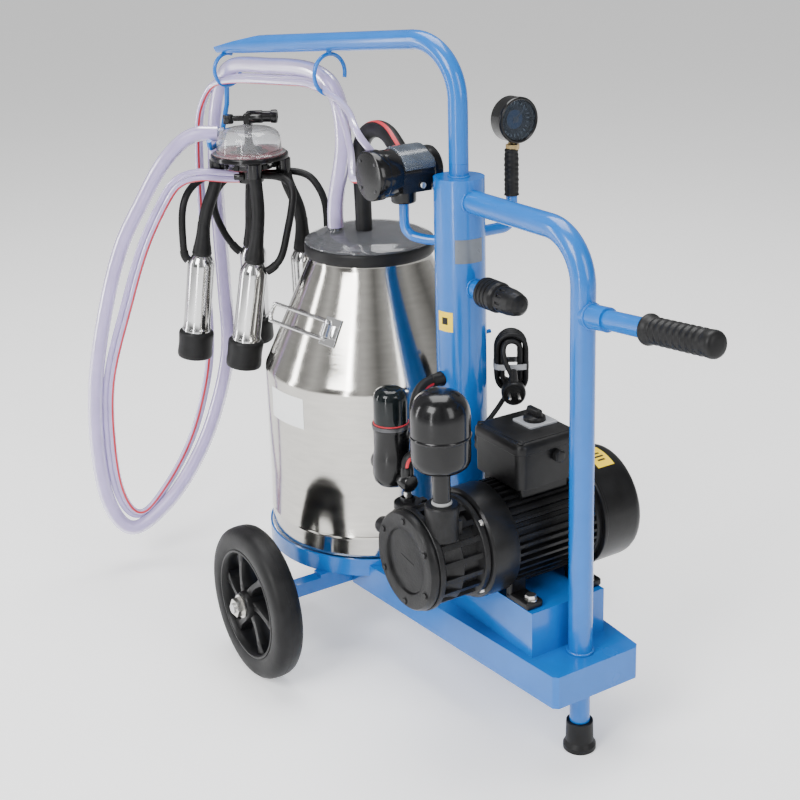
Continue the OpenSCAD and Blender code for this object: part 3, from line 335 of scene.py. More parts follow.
def bar(name, size, center, rot=None):
    x, y, z = [v / 2000 for v in size]
    vs = [Vector((a * x, b * y, c * z)) for a in (-1, 1) for b in (-1, 1) for c in (-1, 1)]
    if rot is not None:
        vs = [rot @ v for v in vs]
    vs = [v + Vector(center) for v in vs]
    fs = [(0, 1, 3, 2), (4, 6, 7, 5), (0, 4, 5, 1), (2, 3, 7, 6), (0, 2, 6, 4), (1, 5, 7, 3)]
    return mesh_obj(name, vs, fs)


def join(name, objs):
    vs, fs, mi = [], [], []
    for o in objs:
        off = len(vs)
        vs += [o.matrix_world @ v.co for v in o.data.vertices]
        fs += [tuple(off + i for i in p.vertices) for p in o.data.polygons]
        mi += [p.material_index for p in o.data.polygons]
        bpy.data.objects.remove(o)
    me = bpy.data.meshes.new(name)
    me.from_pydata([tuple(v) for v in vs], [], fs)
    me.polygons.foreach_set("material_index", mi)
    me.update()
    return bpy.data.objects.new(name, me)


def tint(o, i):
    o.data.polygons.foreach_set("material_index", [i] * len(o.data.polygons))
    return o


# ------------------------------------------------------------------ CAD nodes that are shown
LOOK = {
    "platform": BLUE, "axle_beam": BLUE, "bucket_hoop": BLUE, "column_tank": BLUE, "upright_frame": BLUE, "motor_plinth": BLUE,
    "branch_pipes": BLUE, "handle_tube": BLUE, "arm_tube": BLUE, "hose_rings": BLUE,
    "foot_cap": RUBBER, "axle_shaft": MACHINED, "axle_nuts": ZINC, "pulsator_body": GLOSS, "pulsator_cover": GLASSG, "gauge_case": GLOSS,
    "gauge_lens": CLEAR, "gauge_sleeve": RUBBER, "regulator_body": PLASTIC, "regulator_cap": PLASTIC, "pump_housing": CAST, "pump_cover": CAST,
    "exhaust_muffler": GLOSS, "oiler_body": GLOSS, "oiler_bowl": SMOKE, "suction_pipe": ZINC, "suction_hose": RUBBER, "motor_body": BLACKP,
    "fan_cover": BLACKP, "terminal_box": PLASTIC, "box_lid": PLASTIC, "motor_bolts": ZINC, "cable_gland": PLASTIC, "vacuum_hose": RUBBER,
    "power_cord": RUBBER, "cord_hank": RUBBER, "plug": RUBBER, "near_tyre": TYRE, "far_tyre": TYRE, "near_rim": PLASTIC, "far_rim": PLASTIC,
    "motor_rotor": MACHINED, "fan": PLASTIC, "pump_rotor": MACHINED, "switch_knob": PLASTIC, "handle_grip": RUBBER, "milk_hose": HOSE,
    "pulse_hose": HOSE, "bucket": STEEL, "bucket_handle": POLISH, "lid": SMOKE, "lid_gasket": RUBBER, "claw_bowl": GLOSS, "claw_dome": CLEAR,
    "cup_liners": RUBBER, "cup_shells": POLISH, "pulse_tubes": RUBBER, "claw_valve": GLOSS, "gauge_needle": GREYP, "pulsator_screw": ZINC,
}
for name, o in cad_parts.items():
    o.data.materials.clear()
    o.data.materials.append(LOOK[name])

# ------------------------------------------------------------------ hoses
def chain(route, step=0.004, rounds=5):
    return soften(resample(catmull(route, 10), step), rounds)


def nearest(pts, p):
    return min(range(len(pts)), key=lambda i: (pts[i] - Vector(p)).length)


def hose_parts(label, pts, cuts, radius, hint, mats, mode, sides=24, stripe=None, section=None, replaces=()):
    """One hose cut at shared rings into parts. mode: per part, a body name to attach the part to, or (a, b, start,
    end), whose values are not read; such a part is left unattached with its transform baked in.
    """
    t, us = frames(pts, hint)
    ids = [0] + list(cuts) + [len(pts) - 1]
    objs = []
    sec = section or [(radius * math.cos(2 * math.pi * k / sides), radius * math.sin(2 * math.pi * k / sides)) for k in range(sides)]
    s = len(sec)
    for n, (a, b) in enumerate(zip(ids, ids[1:])):
        vs, fs, mi = [], [], []
        for i in range(a, b + 1):
            u = us[i]; v = t[i].cross(u)
            for x, y in sec:
                vs.append(pts[i] + u * x + v * y)
        for i in range(b - a):
            for k in range(s):
                k2 = (k + 1) % s
                fs.append((i * s + k, (i + 1) * s + k, (i + 1) * s + k2, i * s + k2))
                deg = math.degrees(math.atan2(sec[k][1] + sec[k2][1], sec[k][0] + sec[k2][0])) % 360
                mi.append(1 if stripe and any(p <= deg <= q for p, q in stripe) else 0)
        if n == 0:
            fs.append(tuple(range(s))); mi.append(0)
        if n == len(ids) - 2:
            fs.append(tuple(reversed(range((b - a) * s, (b - a + 1) * s)))); mi.append(0)
        me = bpy.data.meshes.new(f"{label}_{n + 1}")
        me.from_pydata([tuple(v) for v in vs], [], fs)
        me.polygons.foreach_set("material_index", mi)
        me.update()
        o = bpy.data.objects.new(f"{label}_{n + 1}", me)
        put(o, mats, None, smooth=60)
        if isinstance(mode[n], str):
            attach(o, mode[n])
        else:
            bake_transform(o)
        if n == 0 and replaces:
            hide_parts(*replaces)
        objs.append(o)
    return objs


milk_route = [CL(*p) for p in [(47, 0, 740), (58, 0, 740), (70, 0, 741), (84, 0, 739), (107, 0, 726), (140, 0, 690), (176, 0, 630), (213, 0, 560),
    (245, 0, 460), (272, 0, 335), (279, 0, 215), (267, 0, 115), (232, 10, 66), (173, 35, 105), (124, 60, 175), (90, 78, 255),
    (66, 88, 355), (66, 92, 460), (68, 92, 562), (68, 86, 660)]] + [M(*p) for p in [(-549, -100, 706), (-536, -102, 752),
    (-520, -100, 798), (-502, -98, 828), (-478, -94, 842), (-446, -87, 847), (-395, -77, 849), (-340, -66, 852), (-298, -58, 851),
    (-272, -53, 845), (-252, -49, 834), (-238, -46, 812), (-230, -45, 782), (-229, -45, 748), (-238, -46, 710), (-250, -47, 675),
    (-257, -47, 645), (-257, -47, 620)]]
milk = chain(milk_route)
i1 = nearest(milk, CL(66, 92, 460)); i2 = nearest(milk, M(-298, -58, 851)); i3 = nearest(milk, M(-230, -45, 782)); i4 = nearest(milk, M(-238, -46, 710))
hose_parts("milk_hose", milk, [i1, i2, i3, i4], 0.012, (0, 0, 1), [HOSE, RED],
    [("claw", "hose_arm", CL(150, 4, 100), CL(150, 82, 100)), "hose_arm",
     ("hose_arm", "cart", milk[i2], milk[i3]), ("cart", "bucket", milk[i3], milk[i4]), ("bucket", "lid", milk[i4], M(-257, -47, 645))],
    sides=28, stripe=None, replaces=["milk_hose"])

# twin pulse tube: two clear tubes side by side, parted in front of the pulsator
pulse_route = [CL(*p) for p in [(16, -14, 674), (24.4, -14, 674), (34, -14, 674), (43, -17, 675.5), (55, -20, 678), (76, -19, 679), (107, -13, 671), (130, -8, 648),
    (173, -8, 568), (208, -4, 472), (251, 5, 334), (258, 5, 211), (248, 5, 127), (221, 18, 86), (179, 44, 126), (138, 66, 195), (112, 80, 270), (96, 88, 354),
    (95, 92, 460), (95, 92, 563), (93, 85, 665), (88, 72, 735)]] + [M(*p) for p in [(-548, -120, 772), (-530, -113, 802), (-512, -107, 816),
    (-492, -104, 820), (-450, -95, 826), (-395, -82, 829), (-340, -70, 832), (-292, -62, 834), (-262, -60, 830)]]
base = chain(pulse_route)
bt, bu = frames(base, (0, 0, 1))
pn1, pd1 = M(-73.74, -98.1, 775.42), Vector((-0.2079, -0.561, 0.8012))
pn2, pd2 = M(-107.7, -94, 722.87), Vector((-0.985, 0, -0.174))
ends = {
    1: [M(-228, -66, 824), M(-196, -72, 822), M(-160, -82, 818), M(-122, -94, 811), M(-94, -106, 803), pn1 + pd1 * 0.016, pn1 + pd1 * 0.004, pn1 - pd1 * 0.012],
    -1: [M(-236, -58, 822), M(-214, -60, 804), M(-190, -64, 782), M(-168, -70, 758), M(-152, -77, 742), M(-137, -86, 730), pn2 + pd2 * 0.016, pn2 + pd2 * 0.004, pn2 - pd2 * 0.012],
}
side0 = 1 if bu[-1].dot(Vector((1, 0, 0.4))) > 0 else -1
for which in (1, -1):
    pts0 = [p + u * 0.0051 * which for p, u in zip(base, bu)][::4]
    path = soften(resample(catmull(pts0 + ends[which * side0], 8), 0.004), 6)
    j1 = nearest(path, CL(95, 92, 460)); j2 = nearest(path, M(-292, -62, 834))
    hose_parts("pulse_tube_a" if which > 0 else "pulse_tube_b", path, [j1, j2], 0.005, (0, 0, 1), [HOSE, RED],
        [("claw", "hose_arm", CL(150, 4, 100), CL(150, 82, 100)), "hose_arm", ("hose_arm", "cart", path[j2], path[-1])],
        sides=18, stripe=([(195, 240)] if which < 0 else None), replaces=["pulse_hose"] if which > 0 else ())

vac_route = [M(*p) for p in [(-93, -28, 744), (-103.4, -28, 754.8), (-109, -28, 759.5), (-119, -27.5, 766), (-136, -25, 774), (-166, -21, 777), (-200, -18, 769),
    (-223, -17, 750), (-230, -17, 724), (-228, -17, 690), (-226, -17, 650), (-226, -17, 618)]]
vac = chain(vac_route)
k1 = nearest(vac, M(-231, -17, 730)); k2 = nearest(vac, M(-228, -17, 680))
hose_parts("vacuum_hose", vac, [k1, k2], 0.0125, (0, 0, 1), [RUBBER, RED],
    ["cart", ("cart", "bucket", vac[k1], vac[k2]), ("bucket", "lid", vac[k2], M(-226, -17, 645))],
    sides=28, stripe=[(322, 348)], replaces=["vacuum_hose"])

# ------------------------------------------------------------------ wheels
def tyre_profile(w=21.0, ro=112.0, ri=80.0):
    half = [(ri, w - 3.5), (ri + 2.5, w - 1.6), (ri + 8, w - 0.4), (ri + 15, w), (ro - 12, w - 0.6), (ro - 6.5, w - 2.6), (ro - 2.6, w - 6.5),
            (ro - 0.7, w - 11), (ro, w - 16)]
    return half + [(r, -h) for r, h in reversed(half)]


for side, s in (("near", -1), ("far", 1)):
    c = M(-158, s * 259, 112)
    o = lathe(f"{side}_wheel_tyre", tyre_profile(), c, (0, 1, 0), 128, closed=True)
    put(o, TYRE, f"{side}_wheel", smooth=50, replaces=[f"{side}_tyre"])
    # shallow mould line round the tread
    o = lathe(f"{side}_wheel_mould_line", [(111.6, -0.7), (112.25, -0.4), (112.25, 0.4), (111.6, 0.7)], c, (0, 1, 0), 128, closed=True)
    put(o, TYRE, f"{side}_wheel", smooth=50)
    parts = [lathe("a", [(80.2, -19), (80.2, 19), (77.5, 19.4), (75, 17), (73.4, 6), (73.4, -6), (75, -17), (77.5, -19.4)], c, (0, 1, 0), 128, closed=True),
             lathe("b", [(7.6, -25), (16, -25), (18.5, -24), (20, -21), (21, -8), (21, 8), (20, 21), (18.5, 24), (16, 25), (7.6, 25)], c, (0, 1, 0), 64, closed=True)]
    for k in range(6):
        a0 = math.pi * 2 * k / 6 + 0.25
        vs, fs = [], []
        n = 14
        for i in range(n + 1):
            t = i / n
            rr = 17 + (76 - 17) * t
            ang = a0 + 0.42 * math.sin(t * math.pi / 2) * s
            ctr = Vector((math.cos(ang) * rr, 0, math.sin(ang) * rr))
            tang = Vector((-math.sin(ang), 0, math.cos(ang)))
            wid = 7.2 - 2.6 * math.sin(math.pi * t) + 3.2 * t ** 4
            dep = 15 - 5 * t
            for q, y in ((-wid, -dep), (-wid * 0.8, -dep - 1.2), (wid * 0.8, -dep - 1.2), (wid, -dep), (wid, dep), (wid * 0.8, dep + 1.2), (-wid * 0.8, dep + 1.2), (-wid, dep)):
                vs.append(c + (ctr + tang * q + Vector((0, y, 0))) / 1000)
        for i in range(n):
            for j in range(8):
                j2 = (j + 1) % 8
                fs.append((i * 8 + j, i * 8 + j2, (i + 1) * 8 + j2, (i + 1) * 8 + j))
        fs.append(tuple(range(8))); fs.append(tuple(reversed(range(n * 8, n * 8 + 8))))
        parts.append(mesh_obj("c", vs, fs))
    o = join(f"{side}_wheel_rim", parts)
    put(o, PLASTIC, f"{side}_wheel", smooth=45, replaces=[f"{side}_rim"])

# ------------------------------------------------------------------ bucket
bc = M(-240, 0, 0)
BP = [(0, 144.2), (156, 144.2), (161, 145), (164, 148), (165, 152), (165, 180), (165.6, 181.5), (165.9, 184), (165.6, 186.5), (165, 188),
      (165, 250), (165, 330), (165, 405), (164.8, 408.5), (163.6, 412.6), (161.6, 416.4), (152, 438), (135, 476.7), (118, 515.2), (101, 553.9), (94, 570), (92.6, 574), (92.1, 578), (92.1, 583.4),
      (91.3, 585.3), (89.8, 585.6), (88.6, 584), (88.4, 580), (90.5, 570), (148, 438), (160.5, 410), (162.6, 404), (162.6, 150), (0, 148)]
o = lathe("milk_bucket", BP, bc, segs=160)
put(o, STEEL, "bucket", smooth=24, replaces=["bucket"])
az = R(-61.4)
tilt = math.atan2(71, 161)
nxy = Vector((math.cos(az), math.sin(az), 0))
tl = Vector((math.sin(az), -math.cos(az), 0))          # tangent, to the left as seen
ns = nxy * math.cos(tilt) + Vector((0, 0, math.sin(tilt)))
g = Vector((0, 0, math.cos(tilt))) - nxy * math.sin(tilt)
be = R(9)
hh = g * math.cos(be) - tl * math.sin(be)
ww = tl * math.cos(be) + g * math.sin(be)
croot = M(-240, 0, 491) + nxy * (0.164 - (491 - 412) / (573 - 412) * 0.071)


def CF(x, y, z):
    """Clip frame, mm: x out of the surface, y to the left along it, z up the hinge line."""
    return croot + (ns * x + ww * y + hh * z) / 1000


def plate_wrap(name, pts, z0, z1, t=1.6, close=False):
    """Sheet bent along pts (x, y in the clip frame), from z0 to z1."""
    vs, fs = [], []
    n = len(pts)
    P2 = [Vector((a, b)) for a, b in pts]
    for i in range(n):
        d = (P2[min(i + 1, n - 1)] - P2[max(i - 1, 0)]).normalized()
        m = Vector((-d.y, d.x)) * t / 2
        for sgn in (1, -1):
            q = P2[i] + m * sgn
            vs.append(CF(q.x, q.y, z0)); vs.append(CF(q.x, q.y, z1))
    for i in range(n - 1):
        a, b = i * 4, (i + 1) * 4
        fs += [(a, a + 1, b + 1, b), (a + 2, b + 2, b + 3, a + 3), (a, b, b + 2, a + 2), (a + 1, a + 3, b + 3, b + 1)]
    fs += [(0, 2, 3, 1), ((n - 1) * 4, (n - 1) * 4 + 1, (n - 1) * 4 + 3, (n - 1) * 4 + 2)]
    return mesh_obj(name, vs, fs)


wrap = [(0.9, -19), (1.0, -13), (1.6, -9), (4.5, -6.5)] + [(6 + 5.2 * math.cos(a), 5.2 * math.sin(a)) for a in [R(-60), R(-30), 0, R(30), R(60), R(90), R(115)]] + [(2.6, 5.4), (1.3, 7.4)]
o = join("bucket_clip", [plate_wrap("a", wrap, -9.6, 9.6), plate_wrap("b", [(0.9, -20), (1.0, -10), (1.0, 6.6)], -21, 21, 1.4)])
put(o, POLISH, "bucket", smooth=50, bevel=0.0005, segs=2)
loop = []
for (y0, z0) in [(0, -13), (110, -13), (110, 13), (0, 13)]:
    pass
RC = 7.0
def corner(cy, cz, a0, a1):
    return [(cy + RC * math.cos(R(a)), cz + RC * math.sin(R(a))) for a in np.linspace(a0, a1, 7)]
loop2 = [(6, -13)] + corner(110 - RC, -13 + RC, -90, 0) + corner(110 - RC, 13 - RC, 0, 90) + [(6, 13)] + [(3, 12.4), (1, 11), (0, 8)]
loop2 = [(0, -8), (1, -11), (3, -12.4)] + loop2 + [(0, 0), (0, -8)]
ph = R(-10)
pts = [CF(6 + y * math.sin(ph), y * math.cos(ph), z) for y, z in loop2]
o = tube("bucket_wire_handle", resample(catmull(pts, 4), 0.0025), 0.003, hint=tuple(ns), sides=14)
put(o, POLISH, "bucket_bail", smooth=60, replaces=["bucket_handle"])
# blank label on the bucket's side
def patch(name, center_r, a0, a1, z0, z1, axis_xy=(-240, 0), off=0.25, na=14, nz=4):
    vs, fs = [], []
    for i in range(na + 1):
        a = R(a0 + (a1 - a0) * i / na)
        for j in range(nz + 1):
            z = z0 + (z1 - z0) * j / nz
            vs.append(M(axis_xy[0] + (center_r + off) * math.cos(a), axis_xy[1] + (center_r + off) * math.sin(a), z))
    for i in range(na):
        for j in range(nz):
            fs.append((i * (nz + 1) + j, (i + 1) * (nz + 1) + j, (i + 1) * (nz + 1) + j + 1, i * (nz + 1) + j + 1))
    return mesh_obj(name, vs, fs)


o = patch("bucket_blank_label", 165, -98, -70, 346, 393)
put(o, WHITE, "bucket", smooth=60)

# ------------------------------------------------------------------ lid
LP = [(90, 597), (96, 597), (96.8, 598), (96.6, 600.4), (94, 602), (90, 603.4), (84, 606.6), (76, 610), (66, 612.6), (44, 616), (22, 617.6), (0, 618),
      (0, 615), (22, 614.6), (44, 613), (65, 609.6), (75, 607), (82, 603.8), (88, 600)]
o = lathe("bucket_lid", LP, bc, segs=128)
noz = []
for k, (x, y) in enumerate(((-257, -47), (-226, -17))):
    nz = lathe("n", [(6.5, 604), (9.6, 606), (12, 612), (10.2, 617), (9.4, 620), (9.2, 626), (10, 627.2), (9.6, 629), (8.4, 630), (6.5, 630)], M(x, y, 0), segs=40, closed=True)
    noz.append(nz)
o = join("bucket_lid_dome", [o] + noz)
put(o, SMOKE, "lid", smooth=40, replaces=["lid"])
o = lathe("lid_gasket_ring", [(92.4, 579.4), (94, 578.2), (96, 578.6), (97.4, 580.4), (97.9, 584), (97.9, 592), (97.2, 596), (95.4, 597.6), (90, 597.6), (87, 596.6), (86, 594), (86.2, 587), (88, 586), (92.4, 585.8)], bc, segs=128, closed=True)
put(o, RUBBER, "lid", smooth=45, replaces=["lid_gasket"])

# ------------------------------------------------------------------ motor
mc = M(145, 0, 281)
Y = (0, 1, 0)


def finned(r, h, a):
    """Fins along the motor's length, evenly all the way round."""
    if r < 66.5 or r > 72.5:
        return r
    d = (math.degrees(a)) % 360
    return r if (d % 9) < 3.4 else r - 6.5


segs = 480
o1 = lathe("a", [(40, -105), (66, -105), (71, -104), (73.5, -101), (74, -96), (74, -66), (73, -62.5), (70.5, -61)], mc, Y, 96, hint=(0, 0, -1))
o2 = lathe("b", [(60, -61.5), (71.5, -61.4), (71.5, 66), (60, 66)], mc, Y, segs, hint=(0, 0, -1), fn=finned)
o3 = lathe("c", [(60, 65.8), (71.5, 65.8), (72.4, 67), (72.4, 75), (70, 76), (40, 76)], mc, Y, 96, hint=(0, 0, -1))
o = join("motor_housing", [o1, o2, o3])
put(o, BLACKP, "cart", smooth=32, replaces=["motor_body"])
feet = []
for y in (-52, 46):
    for x0, x1 in ((64, 104), (186, 234)):
        feet.append(bar("f", (x1 - x0, 26, 11), M((x0 + x1) / 2, y + 1, 212.6)))
        feet.append(bar("f", (12 if x0 < 100 else 12, 26, 34), M(98 if x0 < 100 else 192, y + 1, 226)))
o = join("motor_feet", feet)
put(o, BLACKP, "cart", smooth=35, bevel=0.003, segs=3)
o = bar("motor_box_pad", (86, 78, 20), M(141, 4, 344))
put(o, BLACKP, "cart", smooth=35, bevel=0.004, segs=3)
# ring of bell screws
scr = []
for a in (45, 135, 225, 315):
    ca, sa = math.cos(R(a)), math.sin(R(a))
    scr.append(lathe("s", [(0, 0), (5, 0), (5, 3.6), (4.2, 4.4), (0, 4.4)], mc + Vector((sa * 0.0655, -0.1045, ca * 0.0655)), (0, -1, 0), 6))
o = join("motor_bell_screws", scr)
put(o, ZINC, "cart", smooth=35)
# fan cover: drum with a slotted end
o = lathe("fan_cover_drum", [(72, 74), (78.4, 74.2), (79.4, 75.4), (79.4, 79), (78.6, 80), (78.6, 128), (78, 133), (76, 137.4), (72.4, 139.6), (68, 140.2),
          (66, 139.4), (66, 138), (71, 137.4), (74.6, 135), (76.4, 131), (76.8, 127), (76.8, 77), (72, 76)], mc, Y, 128, closed=True)
rings = [o]
for rr in (12, 21, 30, 39, 48, 57):
    rings.append(lathe("r", [(rr - 2, 137.6), (rr + 2.6, 137.6), (rr + 2.6, 140), (rr - 2, 140)], mc, Y, 96, closed=True))
rings.append(lathe("r", [(0, 137.4), (12, 137.4), (12, 140.2), (0, 140.2)], mc, Y, 48))
for k in range(8):
    a = math.pi * 2 * k / 8
    rot = Matrix.Rotation(a, 3, "Y")
    rings.append(bar("r", (58, 2.4, 3.4), mc + rot @ Vector((0.039, 0, 0)) + Vector((0, 0.1388, 0)), rot))
o = join("motor_fan_cover", rings)
put(o, BLACKP, "cart", smooth=35, replaces=["fan_cover"])
# blank yellow sticker near the cover's top
vs, fs = [], []
for i in range(9):
    a = R(90 - 30 * i / 8)
    for y in (94, 122):
        vs.append(mc + Vector((math.cos(a) * 0.0789, y / 1000, math.sin(a) * 0.0789)))
for i in range(8):
    fs.append((2 * i, 2 * i + 1, 2 * i + 3, 2 * i + 2))
o = mesh_obj("fan_cover_sticker", vs, fs)
put(o, YELLOW, "cart", smooth=60)
vs, fs = [], []
for i, (a, y0, y1) in enumerate(((80, 102, 114), (75, 100, 116), (70, 102, 114))):
    aa, bb = R(a), R(a - 2.2)
    k = len(vs)
    for q in (aa, bb):
        for y in (y0, y1):
            vs.append(mc + Vector((math.cos(q) * 0.0791, y / 1000, math.sin(q) * 0.0791)))
    fs.append((k, k + 1, k + 3, k + 2))
o = mesh_obj("fan_cover_sticker_marks", vs, fs)
put(o, PLASTIC, "cart", smooth=60)

# ------------------------------------------------------------------ pump
pockets = []


def pump_fn(r, h, a):
    """Rectangular cooling pockets in two rows round the housing."""
    if not 60 < r < 66:
        return r
    d = math.degrees(a) % 20
    row = (-176 + 8 < h < -176 + 31) or (-176 + 35.5 < h < -176 + 58)
    return r - 6.5 if (3.4 < d < 16.6 and row) else r


prof = [(30, -105), (67, -105), (68, -106), (68, -112), (66.5, -113.5), (64.6, -114)]
hs = [-118.2, -118.3, -140.2, -140.3, -144.9, -145.0, -167.6, -167.7]
for h in hs:
    prof.append((64.6, h))
prof += [(64.6, -172), (66.4, -173), (68, -175), (68, -181), (67, -182), (30, -182)]
o = lathe("pump_drum", prof, mc, Y, 720, hint=(0, 0, 1), fn=pump_fn)
parts = [o]
# outlet and inlet bosses, drain boss
parts.append(lathe("p", [(0, 40), (21, 40), (21, 70), (22, 73), (22, 84), (20.5, 86), (11, 86), (11, 70), (0, 70)], M(184, -160, 281), segs=64))
parts.append(lathe("p", [(0, 30), (17, 30), (17, 50), (18.4, 52), (18.4, 59), (17.4, 60), (0, 60)], M(104, -160, 281), segs=64))
parts.append(lathe("p", [(0, 50), (9, 50), (9, 88), (11, 89), (11.6, 92), (11.6, 100), (10.4, 103), (0, 104)], M(145, -164, 286), (-1, 0, 0), segs=40))
for x in (104, 184):
    parts.append(bar("p", (10, 34, 40), M(x, -150, 318)))
o = join("pump_housing_shell", parts)
put(o, CAST, "cart", smooth=30, replaces=["pump_housing"])
# front cover with a stepped recess
cov = lathe("pump_front_plate", [(0, -188.6), (40.4, -188.6), (42, -189.2), (43.4, -192.6), (46, -194), (58, -194.3), (62.6, -193.4), (65, -190.6), (66.2, -186), (66.2, -183.4), (65.4, -182.2), (0, -182.2)], mc, Y, 128)
parts = [cov]
for k in range(6):
    a = R(30 + 60 * k)
    p = mc + Vector((math.cos(a) * 0.0555, -0.1936, math.sin(a) * 0.0555))
    parts.append(lathe("n", [(0, 0), (4.4, 0), (4.4, 1.8), (3.8, 2.4), (0, 2.4)], p, (0, -1, 0), 6, hint=(1, 0, 0.3)))
    parts.append(lathe("n", [(6, -0.4), (6, 0.8), (0, 0.8)], p, (0, -1, 0), 24))
o = join("pump_front_cover", parts)
put(o, CAST, "cart", smooth=35, replaces=["pump_cover"])
o = lathe("pump_cover_rib", [(-0.4, 0), (0.5, 0), (0.5, 30), (-0.4, 30)], mc + Vector((-0.015, -0.1886, 0.004)), (1, 0, -0.16), 12)
put(o, CAST, "cart", smooth=40)
# tape round the muffler's joint
o = lathe("outlet_tape", [(12.2, 86.3), (13.0, 86.5), (13.2, 87.6), (12.8, 89.6), (11.6, 90.4)], M(184, -160, 281), segs=48)
put(o, TAPE, "cart", smooth=60)
# muffler
MP = [(0, 367), (11.5, 367.2), (11.5, 412), (14, 413.2), (24, 414.2), (30, 416.2), (34.6, 420.2), (37.2, 425.6), (38, 432), (38, 457), (38.9, 458), (39.3, 459.4), (38.9, 460.8), (38, 461.8),
      (38, 484), (37.2, 492), (34.8, 500), (30.8, 507), (25, 512.4), (17, 516), (9, 517.8), (0, 518)]
o = lathe("exhaust_muffler_can", MP, M(184, -160, 0), segs=128)
put(o, GLOSS, "cart", smooth=32, replaces=["exhaust_muffler"])

# ------------------------------------------------------------------ oiler
OB = [(0, 352), (12, 352.4), (19, 355), (23.5, 360), (25.6, 368), (25.6, 386), (24.6, 395), (23.4, 402), (23.4, 428), (24.2, 430), (24.2, 433), (0, 433)]
body = lathe("o", OB, M(68, -160, 0), segs=96)
bulb = lathe("o", [(0, 0), (12, 0), (14, 20), (15, 26), (14, 32), (10, 36), (0, 37.4)], M(68, -160, 377), (-1, 0, 0), segs=48)
sidep = lathe("o", [(0, 0), (9.5, 0), (9.5, 26), (11.5, 28), (11.5, 42), (10, 44), (0, 44.6)], M(70, -160, 368), (1, 0, 0), segs=48)
up = lathe("o", [(0, 0), (9, 0), (9, 18), (8, 22), (0, 22)], M(104, -160, 368), (0, 0, 1), segs=48)
o = join("oiler_housing", [body, bulb, sidep, up])
put(o, GLOSS, "cart", smooth=40, replaces=["oiler_body"])
o = lathe("oiler_clamp_ring", [(23.4, 433), (25, 433.6), (25.2, 436), (25, 438.6), (23.2, 439)], M(68, -160, 0), segs=96)
put(o, DARKMETAL, "cart", smooth=40)
o = lathe("oiler_red_ring", [(23.2, 439), (23.6, 439.2), (23.6, 440.4), (23.2, 440.6)], M(68, -160, 0), segs=96)
put(o, RED, "cart", smooth=40)
o = lathe("oiler_sight_bowl", [(24, 433.2), (24, 438.5), (22.6, 440), (22.4, 472), (21.4, 478), (18.6, 483), (13, 486.4), (6, 487.4), (0, 487.4), (0, 484.6), (12, 484), (17, 481), (19.6, 476), (20.4, 470), (20.4, 440), (19, 433.2)], M(68, -160, 0), segs=96)
put(o, BOWL, "cart", smooth=40, replaces=["oiler_bowl"])
o = join("oiler_inner_tube", [lathe("t", [(0, 434), (5, 434), (5, 474), (3, 478), (0, 478)], M(68, -160, 0), segs=32), lathe("t", [(0, 434), (17, 434), (17, 448), (0, 448)], M(68, -160, 0), segs=48)])
put(o, DARKMETAL, "cart", smooth=40)
o = lathe("suction_union", [(5.4, 20), (9.4, 20), (9.4, 26), (5.4, 26)], M(104, -160, 321), segs=6, closed=True)
put(o, DARKMETAL, "cart", smooth=30)

# suction hose from the column's elbow to the oiler
sroute = [M(*p) for p in [(0, -48, 452), (0, -62, 450), (6, -78, 441), (22, -94, 425), (48, -108, 409), (78, -118, 400), (98, -130, 399), (106, -146, 402), (104, -158, 400), (104, -160, 389)]]
sh = chain(sroute, 0.003, 6)
o = tube("suction_hose_run", sh, 0.0078, hint=(0, 0, 1), sides=24, stripe=[(240, 270)])
put(o, [RUBBER, RED], "cart", smooth=60, replaces=["suction_hose"])
o = lathe("suction_elbow", [(0, 0), (10.5, 0), (10.5, 5), (9, 7), (9, 17), (8.2, 18), (0, 18)], M(0, -33.5, 452), (0, -1, 0), segs=40)
put(o, PLASTIC, "cart", smooth=40)

# ------------------------------------------------------------------ claw and cups
claw0 = CL(0, 0, 0)
CX, CY = Vector((S1, S2, 0)), Vector((-S2, S1, 0))


def LC(x, y, z):
    """The claw's local millimetres, as in the CAD."""
    return claw0 + (CX * x + CY * y + Vector((0, 0, z))) / 1000


